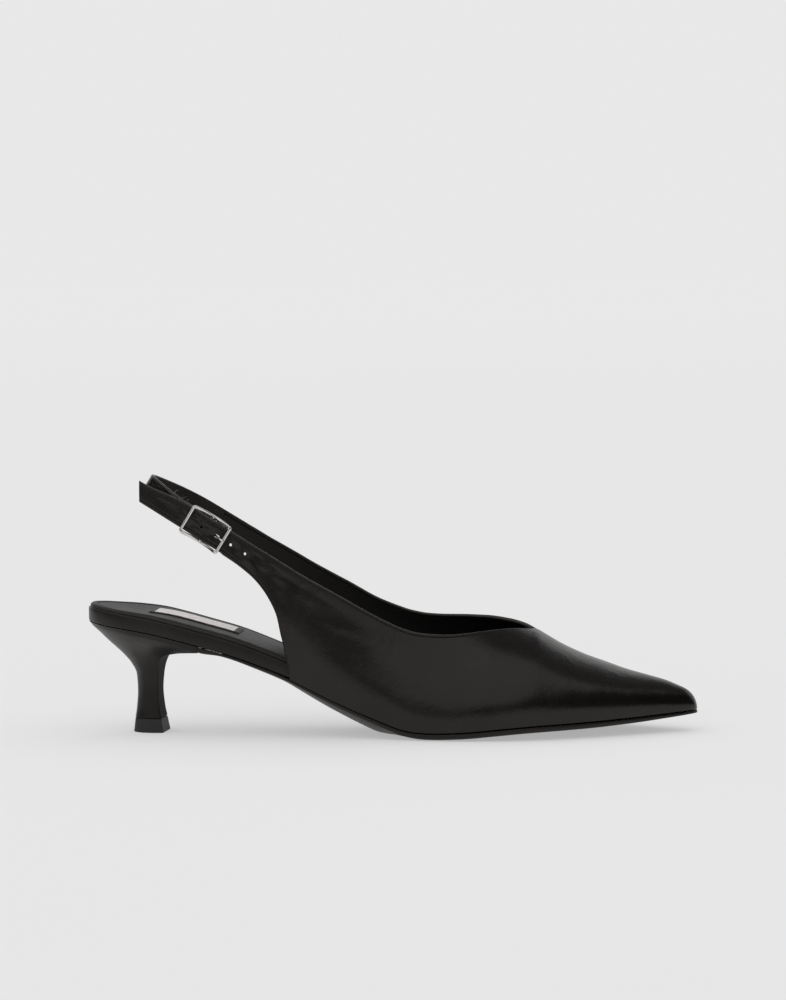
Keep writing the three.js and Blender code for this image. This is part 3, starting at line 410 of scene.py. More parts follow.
def sole_bottom(x, y, start, end):
    """The sole's underside: flat over the middle of its width and curved up to its edge, and at
    the floor where it treads."""
    share = share_at(x)
    dome = WAIST_DOME * reading(SOLE_SECTIONS, "dome", share)
    lowest = np.maximum(0, sole_top(x) - sole_edge(x) - dome)
    lowest = np.where((share >= TREAD[0]) & (share <= TREAD[1]), 0, lowest)
    out = np.abs(y - (start + end) / 2) / np.maximum(np.abs(end - start) / 2, 1e-6)
    curve = (np.maximum(0, out - TREAD_WIDTH) / (1 - TREAD_WIDTH)) ** 2
    return lerp(lowest, sole_top(x) - sole_edge(x), curve)


def from_edge(part, drop=0.0):
    """The height at a part of the sole's edge, 0 at its top and 1 at its foot."""
    return lambda x, y: sole_top(x) - sole_edge(x) * part - drop


outsole_levels = [
    (sole_reach - sole_bevel, from_edge(1)),
    (sole_reach - 0.45 * sole_bevel, from_edge(0.86)),
    (sole_reach - 0.12 * sole_bevel, from_edge(0.7)),
    (sole_reach, from_edge(0.55)),
    (sole_reach, from_edge(0, 0.5)),
    (sole_reach - 0.05, from_edge(0, 0.25)),
    (sole_reach - 0.2, from_edge(0, 0.08)),
    (sole_reach - 0.45, sole_top),
]
outsole_rings = slab(sole_turns, sole_bottom, sole_top, outsole_levels, 28)
outsole = skin("outsole_leather", [(outsole_rings, True, {}), ends(outsole_rings)[0]])
sole_finish = leather(
    "sole_leather", (0.0045, 0.0038, 0.0035), (0.008, 0.007, 0.0063), 0.42, 0.03,
)
belongs(outsole, sole_finish, "outsole", "outsole")

# Insole
# A stiff board wrapped in satin black leather. Its edge shows as a band round the heel, and
# inside the upper it thins to a flat board.
INSOLE_EDGE = 6.2
FOREPART_INSOLE = 2.0
EDGE_ROUND = 0.9
SEAT_CUP = 1.0
ARCH_RISE = 0.5
INSOLE_TOE_INSET = 0.5


def insole_rise(x):
    """The insole's thickness: its full band round the heel, thinner in the forepart."""
    return lerp(INSOLE_EDGE, FOREPART_INSOLE, smooth(share_at(x), 0.36, 0.52))


def insole_top(x, y, *_):
    """The insole's top: the seam line plus its rise, less a parabola across it for the heel's cup,
    or plus a lower one for the rise in front of it."""
    share = share_at(x)
    inward = np.maximum(0, 1 - (y / (SEAT_WIDTH / 2 * 0.94)) ** 2)
    forward = smooth(share, 0.07, 0.16)
    rise = ARCH_RISE * forward * (1 - smooth(share, 0.3, 0.42))
    cup = SEAT_CUP * smooth(x - HEEL_BACK, 0, SEAT_LENGTH * 0.55) * (1 - forward)
    return seam_height(x) + insole_rise(x) + (rise - cup) * inward


def arc(inset, radius, height, falling, count=5):
    """Levels of a quarter round: an edge that turns inwards over radius, at the foot or at the
    top of a wall."""
    levels = []
    for angle in np.linspace(0, np.pi / 2, count):
        inward, drop = radius * (1 - np.cos(angle)), radius * (1 - np.sin(angle))
        sign = 1 if falling else -1
        levels.append((-inset - inward, lambda x, y, d=drop: height(x, y) - sign * d))
    return levels if falling else levels[::-1]


insole_turns = np.linspace(0, np.pi, 260)
insole_inset = INSOLE_TOE_INSET * smooth(insole_turns, 2.4, np.pi)
insole_levels = [
    *arc(insole_inset, EDGE_ROUND * 0.7, lambda x, y: seam_height(x), False),
    *arc(insole_inset, EDGE_ROUND, lambda x, y: seam_height(x) + insole_rise(x), True),
]
insole_rings = slab(insole_turns, lambda x, *_: seam_height(x), insole_top, insole_levels, 24)
insole = skin("insole_board", [(insole_rings, True, {})])
band_finish = leather("band_leather", (0.0045, 0.004, 0.0038), (0.008, 0.007, 0.0066), 0.38, 0.035)
belongs(insole, band_finish, "insole", "insole")

# Sock
# The padded lining that the foot stands on: soft black leather over thin foam, with a raised
# rim, a sewn groove just inside it, and a shallow cup under the heel.
SOCK_THICKNESS = 1.3
SOCK_INSET = 0.8
SOCK_TOE_INSET = 0.7
GROOVE_IN = 3.0


def sock_top(x, y, *_):
    """The sock's plain top follows the insole's top."""
    return insole_top(x, y) + GAP + SOCK_THICKNESS


def sock_rim(t):
    """Height of the sock at a distance t in from its edge, against its plain top: a round rim,
    the groove, and the padding that swells again behind it."""
    rim = -SOCK_THICKNESS * 0.85 * (1 - np.sqrt(1 - (1 - np.clip(t / 1.3, 0, 1)) ** 2))
    swell = 0.22 * np.exp(-((t - 1.5) / 0.8) ** 2)
    groove = -0.5 * np.exp(-((t - GROOVE_IN) / 0.32) ** 2)
    return rim + swell + groove


sock_turns = np.linspace(0, np.pi, 300)
toe_shrink = lerp(1.0, 0.12, smooth(sock_turns, 2.2, 2.95))
sock_inset = SOCK_INSET + SOCK_TOE_INSET * smooth(sock_turns, 2.2, np.pi)
sock_levels = [(-sock_inset - 0.2, lambda x, y: insole_top(x, y) + 0.02)]
for t in (
    0, 0.12, 0.3, 0.55, 0.85, 1.2, 1.6, 2.0, 2.35, 2.6, 2.8, 3.0, 3.2, 3.4, 3.7, 4.2, 5.0, 6.5,
):
    def rim_height(x, y, t=t):
        return sock_top(x, y) + sock_rim(t)

    sock_levels.append((-sock_inset - t * toe_shrink, rim_height))
sock_rings = slab(
    sock_turns, lambda x, y, *_: insole_top(x, y) + 0.02, sock_top, sock_levels, 22,
)
sock = skin("sock_padding", [(sock_rings, True, {})], 60)
sock_finish = leather(
    "sock_leather", (0.008, 0.008, 0.0076), (0.015, 0.0145, 0.014), 0.5, 0.05, 0.45,
)
belongs(sock, sock_finish, "sock", "sock")

# Label
# A plain pale cloth strip laid along the heel seat, with a thin dark line painted round its edges
# and painted shadow across both ends, as if it lay in a recess. It is left bare.
LABEL_LENGTH = 39.0
LABEL_WIDTH = 18.0
LABEL_THICKNESS = 0.4

label_back = HEEL_BACK + SEAT_LENGTH * 0.545
label_x, label_across = np.meshgrid(
    label_back + np.linspace(0, LABEL_LENGTH, 80), np.linspace(-1, 1, 40), indexing="ij",
)
label_y = label_across * LABEL_WIDTH / 2
to_end = LABEL_LENGTH / 2 - np.abs(label_x - label_back - LABEL_LENGTH / 2)
to_edge = np.minimum((1 - np.abs(label_across)) * LABEL_WIDTH / 2, to_end)
label_base = sock_top(label_x, label_y)
label_lift = LABEL_THICKNESS * np.sqrt(np.clip(to_edge / 0.5, 0, 1)) + 0.02 * np.sin(label_x * 1.3)
label_under = np.stack([label_x, label_y, label_base + GAP * 0.2], -1)
label_over = np.stack([label_x, label_y, label_base + GAP + label_lift], -1)
label_values = {"edge": to_edge, "end": to_end}
label_rim = [
    (np.stack([label_under[side], label_over[side]]), False,
     {key: np.stack([value[side]] * 2) for key, value in label_values.items()})
    for side in (np.s_[0], np.s_[-1], np.s_[:, 0], np.s_[:, -1])
]
label = skin("label_cloth", [
    (label_under, False, label_values), (label_over, False, label_values), *label_rim,
], 50)
cloth = Finish("label_cloth", roughness=0.85, sheen_weight=0.2)
weave = cloth.node("TexWave", {"bands_direction": "X"}, {"Vector": cloth.mm, "Scale": 0.5})
weft = cloth.node("TexWave", {"bands_direction": "Y"}, {"Vector": cloth.mm, "Scale": 0.45})
pale = cloth.clouds(5, (0.8, 0.735, 0.725), (0.9, 0.85, 0.84), 4.0)
# A thin dark line is painted round the cloth's edges.
bordered = cloth.mix(cloth.kept("edge").fade(0.75, 0.45), pale, (0.02, 0.018, 0.018))
# Painted shadow: both ends are painted near black over their last 2.2 to 2.6 mm, as if the strip
# sat in a recess in the sock.
turned = cloth.mix(cloth.kept("end").fade(2.6, 2.2), bordered, (0.014, 0.013, 0.013))
cloth.set("Base Color", turned)
cloth.bump(weave * weft + cloth.noise(0.4, 2.0) * 0.5, 0.05)
belongs(label, cloth, "label", "label")

# Heel
# A moulded block wrapped in the same satin leather. It flares from a slim waist up to the seat,
# and its breast is a flat, slightly skewed face with softly folded corners.
TOP_LIFT = 6.0
BREAST_SKEW = 0.07
SIDE_COLUMNS = 44
HEEL_LEVELS = table(
    "at back breast back_height breast_height width",
    (0, 0.004, 1, 1, 1, 0.992), (0.1, 0.03, 1, 0.96, 0.918, 0.966),
    (0.2, 0.096, 0.91, 0.886, 0.907, 0.86), (0.3, 0.156, 0.815, 0.814, 0.893, 0.73),
    (0.4, 0.232, 0.712, 0.731, 0.855, 0.575), (0.5, 0.304, 0.652, 0.648, 0.785, 0.445),
    (0.6, 0.362, 0.63, 0.564, 0.69, 0.352), (0.7, 0.408, 0.62, 0.445, 0.555, 0.284),
    (0.8, 0.416, 0.614, 0.279, 0.366, 0.254), (0.9, 0.406, 0.626, 0.112, 0.147, 0.258),
    (1, 0.392, 0.642, 0, 0, 0.278),
)


def heel_level(at):
    """The heel's measures at levels from seat (0) to top lift (1)."""
    at = np.atleast_1d(at)

    def height(column, x):
        return lerp(TOP_LIFT + GAP, seam_height(x) - GAP, reading(HEEL_LEVELS, column, at))

    return {
        "back": HEEL_BACK + SEAT_LENGTH * reading(HEEL_LEVELS, "back", at),
        "breast": HEEL_BACK + SEAT_LENGTH * reading(HEEL_LEVELS, "breast", at),
        "back_z": height("back_height", HEEL_BACK),
        "breast_z": height("breast_height", HEEL_BACK + SEAT_LENGTH),
        "width": reading(HEEL_LEVELS, "width", at),
        "turned": smooth(at, 0.3, 0.6),
    }


def heel_rings(level, fold=0.7, flare=0.0):
    """Scaled copies of the seat's outline, one for each level. The corners at the breast are
    short quadratic curves between side and breast."""
    seat_drop = seam_height(HEEL_BACK) - seam_height(HEEL_BACK + SEAT_LENGTH)
    depth = level["breast"] - level["back"]

    def side_points(side, along):
        seat = outline(side, turn_at(HEEL_BACK + SEAT_LENGTH * along))
        drop = (seam_height(HEEL_BACK) - seam_height(seat[..., 0])) / seat_drop
        y = seat[..., 1] * (level["width"] + flare)[:, None]
        skew = BREAST_SKEW * y * along * level["turned"][:, None]
        x = lerp(level["back"][:, None], level["breast"][:, None], along) + skew
        z = lerp(level["back_z"][:, None], level["breast_z"][:, None], drop)
        return np.stack([x, y, z], -1)

    sides, corners = [], []
    bend = 1 - np.cos(np.linspace(0, np.pi / 2, SIDE_COLUMNS))
    for side in (-1, 1):
        sides.append(side_points(side, bend * (1 - fold / depth)[:, None]))
        corners.append(side_points(side, np.ones((len(depth), 1)))[:, 0])
    breast = unit(corners[1] - corners[0])
    share = np.linspace(0, 1, 7)[1:, None, None]
    folds = []
    for line, corner, inward in ((sides[0], corners[0], breast), (sides[1], corners[1], -breast)):
        start, end = line[:, -1], corner + inward * fold
        folds.append(lerp(lerp(start, corner, share), lerp(corner, end, share), share))
    lateral, medial = [np.moveaxis(curve, 0, 1) for curve in folds]
    share = np.linspace(0, 1, 9)[1:-1, None, None]
    middle = np.moveaxis(lerp(lateral[:, -1], medial[:, -1], share), 0, 1)
    front = np.concatenate([lateral, middle, medial[:, ::-1]], 1)
    return np.concatenate([sides[0], front, sides[1][:, :0:-1]], 1)


heel_grid = heel_rings(heel_level(np.linspace(0, 1, 110)))
breast_face = np.zeros(heel_grid.shape[1])
breast_face[SIDE_COLUMNS + 3:SIDE_COLUMNS + 16] = 1
heel_sheets = [(heel_grid, True, {"breast": breast_face}), *ends(heel_grid, breast=0.0)]
heel = skin("heel_block", heel_sheets, 50)
heel_finish = leather("heel_leather", (0.0042, 0.0036, 0.0034), (0.0075, 0.0066, 0.006), 0.36, 0.03)
heel_worn = 0.34 + 0.08 * heel_finish.noise(7, 3.0)
heel_finish.set("Roughness", heel_worn + 0.5 * heel_finish.kept("breast"))
belongs(heel, heel_finish, "heel", "heel")

# Top lift
# The small block of matt black rubber that the heel walks on, a hair wider than the heel and
# flared a little towards the floor.
LIFT_FLARE = 0.7

lift = {key: np.repeat(value, 6) for key, value in heel_level(1.0).items()}
lift_down = np.array([0, 0.04, 0.12, 0.5, 0.95, 1])
lift_flare = LIFT_FLARE * np.array([-0.25, 0.05, 0.15, 0.5, 1, 0.85])
lift["back"] = lift["back"] - lift_flare
lift["breast"] = lift["breast"] + 1.5 * lift_flare
lift["back_z"] = lift["breast_z"] = TOP_LIFT * (1 - lift_down)
lift_grid = heel_rings(lift, 0.45, lift_flare / (SEAT_WIDTH / 2))
top_lift = skin("top_lift_rubber", [(lift_grid, True, {}), *ends(lift_grid)], 30)
rubber = Finish("lift_rubber")
rubber.set("Base Color", rubber.clouds(3, (0.010, 0.009, 0.009), (0.02, 0.018, 0.017), 5.0))
rubber.set("Roughness", 0.58 + 0.15 * rubber.noise(1.2, 3.0))
rubber.bump(rubber.noise(0.35, 4.0), 0.04)
belongs(top_lift, rubber, "top_lift", "top_lift")

# Upper
# One piece of smooth black leather with its lining, lasted into a pointed vamp that opens in a
# shallow V and runs back into two quarters. The lateral one ends in the billet with its punched
# holes, the medial one in a short tab. All free edges are folded over and sewn.
THROAT_HEIGHT = 44.2
THROAT_AT = 0.737
CORNER_FOOT = 0.343
STRAP_WIDTH = 10.4
STRAP_THICKNESS = 1.8
STRAP_SLOPE = np.radians(31.8)
TAB_LENGTH = 13.0
BILLET_LENGTH = 33.7
BILLET_NARROWING = 2.6
BILLET_TAPER = np.radians(3.87)
BILLET_LIFT = 0.9
LOOP_DEPTH = 33.2
LOOP_SPREAD = 26.0
BUCKLE_LENGTH = 19.4
BUCKLE_FORWARD = 0.9
HOLE = 1.3
HOLE_SPACING = 7.25
FIRST_HOLE = 2.0
PRONG_SLOT = 2.4
STITCH_IN = 1.6
RIDGE = table(
    "at height",
    (0.737, 1), (0.782, 0.8), (0.819, 0.671), (0.847, 0.594), (0.885, 0.491), (0.916, 0.426),
    (0.947, 0.36), (0.968, 0.297), (0.985, 0.231), (0.9947, 0.149), (0.9992, 0.06), (1, 0),
)
TOPLINE = table(
    "at lateral_height medial_height lateral medial lean",
    (0.258, 1.204, 1.204, 0.363, 0.365, 89), (0.298, 1.143, 1.149, 0.369, 0.369, 86),
    (0.359, 1.075, 1.096, 0.372, 0.371, 82), (0.42, 1.047, 1.075, 0.369, 0.369, 78),
    (0.48, 0.997, 1.037, 0.361, 0.36, 73), (0.527, 0.963, 1.041, 0.347, 0.344, 67),
    (0.561, 0.938, 1.037, 0.328, 0.323, 60), (0.611, 0.918, 1.031, 0.277, 0.277, 48),
    (0.653, 0.919, 1.012, 0.213, 0.216, 36), (0.693, 0.910, 0.967, 0.132, 0.144, 24),
    (0.72, 0.887, 0.915, 0.062, 0.08, 12), (0.737, 0.866, 0.866, -0.013, 0.013, 3),
)
REAR_EDGE = table(
    "at back height lateral medial lateral_lean medial_lean",
    (0.258, 1.010, 0.997, 0.363, 0.365, 90, 90), (0.27, 0.765, 0.909, 0.367, 0.368, 90, 89),
    (0.285, 0.510, 0.794, 0.373, 0.368, 90, 88), (0.302, 0.312, 0.657, 0.379, 0.362, 89, 86),
    (0.319, 0.179, 0.512, 0.382, 0.349, 88, 82), (0.335, 0.113, 0.354, 0.381, 0.327, 87, 77),
    (0.349, 0.057, 0.185, 0.376, 0.299, 87, 71), (0.361, 0.000, 0.014, 0.367, 0.265, 87, 66),
)
STANCE = table(
    "at lateral_lean medial_lean foot_pull top_pull",
    (0.34, 87, 66, 0.34, 0.34), (0.45, 84, 68, 0.34, 0.34), (0.56, 79, 75, 0.35, 0.34),
    (0.66, 75, 76, 0.37, 0.33), (0.74, 71, 73, 0.4, 0.33), (0.82, 67, 69, 0.43, 0.35),
    (0.92, 63, 65, 0.45, 0.38), (1, 62, 62, 0.43, 0.38),
)
# Soft forms of both sides of the upper: middle x and z, direction in degrees, half length, half
# width and depth, all in millimetres; a negative depth is a ridge. The first two are wide
# swellings of the quarter, the others are its small troughs, creases and ridges.
DENTS = (
    (-36, 41, -45, 30, 15, -2), (-8, 22, -25, 22, 9, -0.6),
    (-83, 94, -32, 3.2, 1.8, -0.55), (-78.5, 88.5, -40, 3.2, 1.4, 0.42),
    (-73.5, 86.8, -55, 2.2, 1.2, 0.35), (-84.5, 90, -50, 2.4, 1.2, 0.3),
    (-76, 91.5, -28, 3.5, 1.0, 0.18), (-92, 98, -35, 6, 2.0, 0.14), (-98, 99, -60, 4, 1.6, -0.14),
    (-63, 80.5, -48, 3.5, 1.7, 0.42), (-58.5, 76.5, -62, 4, 2, -0.5), (-55, 80, -30, 6, 1.8, 0.35),
    (-52, 73.5, -50, 6, 2.2, 0.45), (-46, 69, -25, 8, 2.4, -0.35), (-45, 64, -62, 8, 2.5, 0.3),
    (-33, 60, -38, 12, 3, 0.22), (-21, 48, -20, 9, 1.8, 0.2), (-15, 50.5, -30, 8, 2, -0.16),
    (0, 42.5, 72, 4, 1.4, 0.08), (3.5, 40, 80, 4.5, 1.3, 0.1), (7, 38.5, 84, 4, 1.4, 0.08),
    (12, 39, -8, 9, 2, 0.2), (27, 22, 60, 5, 1.6, 0.16), (30, 26, 55, 6, 1.6, -0.14),
    (38, 34, -12, 10, 2.6, 0.2), (46, 27, 10, 16, 4, 0.3), (16, 26, -16, 18, 5, -0.3),
    (-12, 33, -30, 20, 6, 0.3), (66, 27, -18, 16, 3.5, 0.22), (-38, 40, -60, 10, 3, 0.2),
)

AXIS_Y = np.array([0.0, 1.0, 0.0])
strap_back = np.array([-np.cos(STRAP_SLOPE), 0, np.sin(STRAP_SLOPE)])
strap_up = np.array([np.sin(STRAP_SLOPE), 0, np.cos(STRAP_SLOPE)])
along_billet = strap_back * np.cos(BILLET_TAPER) + AXIS_Y * np.sin(BILLET_TAPER)
out_of_billet = strap_back * np.sin(BILLET_TAPER) - AXIS_Y * np.cos(BILLET_TAPER)


def topline_height(name, at):
    """Height of the topline of one side: the seam line plus a share of the throat's height."""
    return seam_height(x_at(at)) + THROAT_HEIGHT * reading(TOPLINE, name + "_height", at)


strap_at = TOPLINE["at"][0]
strap_origin = np.array([x_at(strap_at), 0, topline_height("lateral", strap_at)])
strap_origin = strap_origin - strap_up * STRAP_WIDTH / 2 + strap_back * TAB_LENGTH
buckle_middle = strap_origin - strap_back * BUCKLE_FORWARD
buckle_middle[1] = -LOOP_SPREAD * 0.985


def beside_buckle(along, up, out):
    """Points beside the buckle: along the billet, up over its width and out from its middle."""
    along, up, out = [np.asarray(value, float)[..., None] for value in (along, up, out)]
    return buckle_middle + along_billet * along + strap_up * up + out_of_billet * out


def billet_bulge(along):
    """The billet lifts over the centre bar by the square of a cosine."""
    away = np.minimum(np.abs(along) / (BUCKLE_LENGTH * 0.42), 1)
    return BILLET_LIFT * np.cos(away * np.pi / 2) ** 2


def seam_foot(side, share):
    """Points of the line where the upper meets the sole."""
    spot = outline(side, round_ends(share), UPPER_OFFSET)
    return np.column_stack([spot, seam_height(spot[:, 0])])


def topline_point(side, at):
    """Points of the topline of one side."""
    name = "lateral" if side < 0 else "medial"
    y = side * BALL_WIDTH * reading(TOPLINE, name, at)
    return np.column_stack([x_at(at), y, topline_height(name, at)])


def ridge_point(at):
    """Points of the ridge that runs over the vamp from the throat to the toe."""
    tip = seam_height(x_at(1.0))
    height = tip + (THROAT_HEIGHT - tip) * reading(RIDGE, "height", at, round_ends)
    turn = round_ends(at)
    middle = (outline(-1, turn)[:, 1] + outline(1, turn)[:, 1]) / 2
    y = lerp(BALL_WIDTH * 0.013, middle, smooth(at, THROAT_AT, 0.85))
    return np.column_stack([x_at(at), y, height])


VAMP_ROWS = 90
OPEN_ROWS = 110


def upper_rows(side):
    """The ends of the upper's sections on one side from the toe tip back to the end of its strap:
    their feet, tops, the angles at which they leave both, and how far their curves pull."""
    name = "lateral" if side < 0 else "medial"
    vamp = 1 - (1 - THROAT_AT) * (np.arange(VAMP_ROWS) / VAMP_ROWS) ** 2
    corner_at = REAR_EDGE["at"][-1]
    back = np.linspace(0, 1, OPEN_ROWS) ** 1.25
    open_at = lerp(THROAT_AT, corner_at, back)
    corner_share = CORNER_FOOT * LENGTH / INSOLE_LENGTH
    open_foot = open_at + (corner_share - corner_at) * smooth(back, 0.5, 1)
    feet = np.concatenate([vamp, open_foot])
    top = np.concatenate([ridge_point(vamp), topline_point(side, open_at)])
    foot_lean = reading(STANCE, name + "_lean", feet)
    top_lean = np.concatenate([0 * vamp, reading(TOPLINE, "lean", open_at)])
    pulls = [reading(STANCE, key, feet) for key in ("foot_pull", "top_pull")]
    foot = seam_foot(side, feet)

    edge_at = np.linspace(corner_at, strap_at, 56)[1:]
    corner = seam_foot(side, np.array([corner_share]))[0]
    strap_foot = topline_point(side, np.array([strap_at]))[0] - strap_up * STRAP_WIDTH
    rear = np.column_stack([
        lerp(corner[0], strap_foot[0], reading(REAR_EDGE, "back", edge_at)),
        side * BALL_WIDTH * reading(REAR_EDGE, name, edge_at),
        lerp(corner[2], strap_foot[2], reading(REAR_EDGE, "height", edge_at)),
    ])
    rear_top = topline_point(side, edge_at)

    if side < 0:
        half = BUCKLE_LENGTH / 2
        cut_from = 1.55 * half
        along = np.concatenate([
            np.linspace(-1.03 * half, cut_from, 90), np.linspace(cut_from, BILLET_LENGTH, 40)[1:],
        ])
        slant = np.tan(STRAP_SLOPE) * np.clip((along - cut_from) / (BILLET_LENGTH - cut_from), 0, 1)
        top_up = STRAP_WIDTH / 2 - BILLET_NARROWING * smooth(along, 1.13 * half, BILLET_LENGTH)
        foot_up = 0 * along - STRAP_WIDTH / 2
        out = WALL / 2 + billet_bulge(along)
        strap_foot = beside_buckle(along + slant * foot_up, foot_up, out)
        strap_top = beside_buckle(along + slant * top_up, top_up, out)
    else:
        share = np.linspace(0.28, 1, 24)
        middle = strap_origin + strap_back * ((share - 1) * TAB_LENGTH)[:, None]
        end_y = LOOP_SPREAD + STRAP_THICKNESS / 2
        middle[:, 1] = lerp(BALL_WIDTH * TOPLINE["medial"][0], end_y, share)
        strap_foot = middle - strap_up * STRAP_WIDTH / 2
        strap_top = middle + strap_up * STRAP_WIDTH / 2

    def bridge(before, after, count=12):
        """A cubic from the end of one line to the start of the next, along both their ends."""
        t = np.linspace(0, 1, count + 2)[1:-1, None]
        a, b = before[-1], after[0]
        reach = np.linalg.norm(b - a)
        leave, arrive = unit(before[-1] - before[-3]) * reach, unit(after[2] - after[0]) * reach
        return cubic(t, a, leave, b, arrive)

    foot = np.concatenate([foot, rear, bridge(rear, strap_foot), strap_foot])
    top = np.concatenate([top, rear_top, bridge(rear_top, strap_top), strap_top])
    more = len(foot) - len(feet) - len(edge_at)
    foot_lean = [foot_lean, reading(REAR_EDGE, name + "_lean", edge_at), np.full(more, 90.0)]
    top_lean = [top_lean, reading(TOPLINE, "lean", edge_at), np.full(more, 90.0)]
    rest = np.full(len(foot) - len(feet), 0.34)
    foot_pull, top_pull = [np.concatenate([pull, rest]) for pull in pulls]
    return foot, top, np.concatenate(foot_lean), np.concatenate(top_lean), foot_pull, top_pull


EDGE_STEPS = np.array([
    0, 0.08, 0.18, 0.32, 0.5, 0.8, 1.1, 1.35, 1.5, 1.6, 1.7, 1.85, 2.1, 2.6, 3.4,
])
WALL_COLUMNS = 2 * len(EDGE_STEPS) + 26


def upper_wall(side):
    """One side of the upper. Each section is a cubic curve from its foot to its top. The wall's
    two faces are offsets of it along its normal, drawn together in a half round at each free
    edge, and pressed in along the seam and in the dents."""
    foot, top, foot_lean, top_lean, foot_pull, top_pull = upper_rows(side)
    span = top - foot
    length = np.linalg.norm(span, axis=1)
    upright = unit(span * [1, 0, 1])
    outward = AXIS_Y * side

    def heading(lean, sign):
        lean = np.radians(lean)[:, None]
        return outward * np.cos(lean) + sign * upright * np.sin(lean)

    low = foot + heading(foot_lean, 1) * (foot_pull * length)[:, None]
    high = top + heading(top_lean, -1) * (top_pull * length)[:, None]
    shrink = np.minimum(1, length / 9)[:, None]
    speed = np.maximum(3 * np.stack([foot_pull, top_pull]) * length, 1e-6)[..., None]
    from_foot = EDGE_STEPS * shrink / speed[0]
    from_top = 1 - (EDGE_STEPS * shrink / speed[1])[:, ::-1]
    between = np.linspace(0, 1, 28)[1:-1]
    s = np.concatenate([from_foot, lerp(from_foot[:, -1:], from_top[:, :1], between), from_top], 1)
    s = s[..., None]
    points = ((1 - s) ** 3 * foot[:, None] + 3 * s * (1 - s) ** 2 * low[:, None]
              + 3 * s ** 2 * (1 - s) * high[:, None] + s ** 3 * top[:, None])
    blank = np.full(WALL_COLUMNS - len(EDGE_STEPS), 9.0)
    foot_mm = np.concatenate([EDGE_STEPS, blank]) * np.ones((len(foot), 1))
    top_mm = foot_mm[:, ::-1]

    normal = np.cross(np.gradient(points, axis=1), np.gradient(points, axis=0)) * -side
    normal = unit(normal)
    ridge = unit(np.gradient(points[:VAMP_ROWS + 1, -1], axis=0))
    normal[:VAMP_ROWS + 1, -1] = np.stack([ridge[:, 2], 0 * ridge[:, 0], -ridge[:, 0]], -1)
    normal[0] = [1, 0, 0]

    rows = np.arange(len(foot))[:, None]
    behind_throat = np.concatenate([np.zeros(VAMP_ROWS), np.linalg.norm(
        points[VAMP_ROWS:, -1] - points[VAMP_ROWS, -1], axis=1)])[:, None]
    free_top = smooth(behind_throat, 0.0, 3.0)
    free_foot = rows >= VAMP_ROWS + OPEN_ROWS
    top_round = np.clip(1 - top_mm / (WALL / 2), 0, 1)
    foot_round = np.clip(1 - foot_mm / (WALL / 2), 0, 1)
    tuck = WALL / 2 * (1 - np.sqrt(1 - top_round ** 2)) * free_top
    tuck = tuck + WALL / 2 * (1 - np.sqrt(1 - foot_round ** 2)) * np.where(free_foot, 1, 0.45)
    sewn = np.exp(-((top_mm - STITCH_IN) / 0.22) ** 2) * smooth(behind_throat, 1.0, 5.0)
    sewn = sewn + np.exp(-((foot_mm - STITCH_IN) / 0.22) ** 2) * free_foot
    relief = -0.2 * sewn
    for x, z, turn, long, wide, depth in DENTS:
        turn = np.radians(turn)
        dx, dz = points[..., 0] - x, points[..., 2] - z
        u = (dx * np.cos(turn) + dz * np.sin(turn)) / long
        v = (dz * np.cos(turn) - dx * np.sin(turn)) / wide
        relief = relief - depth * np.exp(-u ** 2 - v ** 2) * smooth(top_mm, 2.0, 8.9)
    outer = points + normal * (relief - tuck)[..., None]
    inner = points - normal * (WALL - tuck - 0.13 * sewn)[..., None]
    free_edge = np.minimum(top_mm + 9 * (1 - free_top), foot_mm + 9 * (1 - free_foot))
    return {"outer": outer, "inner": inner, "normal": normal, "edge": np.minimum(free_edge, 9)}


upper_sheets = []
walls = {side: upper_wall(side) for side in (-1, 1)}
for wall in walls.values():
    outer, inner, edge = wall["outer"], wall["inner"], wall["edge"]
    upper_sheets.append((outer, False, {"edge": edge, "lining": 0.0}))
    upper_sheets.append((inner, False, {"edge": edge, "lining": 1.0}))
    for side_cut in (np.s_[:, 0], np.s_[VAMP_ROWS:, -1], np.s_[-1, :]):
        strip = np.stack([outer[side_cut], inner[side_cut]], 1)
        upper_sheets.append((strip, False, {"edge": edge[side_cut][:, None], "lining": 0.5}))
upper = skin("upper_leather", upper_sheets, 50)


def punch(piece, cutters):
    """Cuts closed shapes out of a piece and keeps the result as its mesh."""
    cutter = skin("punch", cutters)
    cut = piece.modifiers.new("punch", "BOOLEAN")
    cut.object = cutter
    cut.solver = "EXACT"
    graph = bpy.context.evaluated_depsgraph_get()
    shaped = bpy.data.meshes.new_from_object(piece.evaluated_get(graph))
    piece.modifiers.remove(cut)
    piece.data = shaped
    bpy.data.objects.remove(cutter)


def stadium(along, length, width, low, high, count=28):
    """A punch through the billet with round ends, as rings from low to high."""
    angle = np.linspace(0, 2 * np.pi, count, endpoint=False)
    straight = (length - width) / 2 * np.sign(np.cos(angle))
    ring = [along + width / 2 * np.cos(angle) + straight, width / 2 * np.sin(angle)]
    grid = np.stack([beside_buckle(*ring, level + 0 * angle) for level in (low, high)])
    return [(grid, True, {}), *ends(grid)]


holes = []
for i in range(4):
    size = (PRONG_SLOT, HOLE * 1.15) if i == 1 else (HOLE, HOLE)
    holes += stadium(FIRST_HOLE - i * HOLE_SPACING - (0.45 if i == 1 else 0), *size, -6, 6)
punch(upper, holes)
upper_finish = leather(
    "upper_leather", (0.0038, 0.0031, 0.0028), (0.0062, 0.0051, 0.0045), 0.34, 0.035, 0.38,
)
lining = upper_finish.kept("lining")
# Painted highlight: the colour turns lighter within half a millimetre of each free edge, standing
# in for the folded edge catching the light.
painted_edge_highlight = upper_finish.kept("edge").fade(0.5, 0.15)
# The sewn line 1.6 mm in from each free edge is painted near black: partly the black thread's own
# colour, partly painted shade in its groove. The same mask also makes it rougher.
seam_groove_shade = abs(upper_finish.kept("edge") - STITCH_IN).fade(0.6, 0.15)
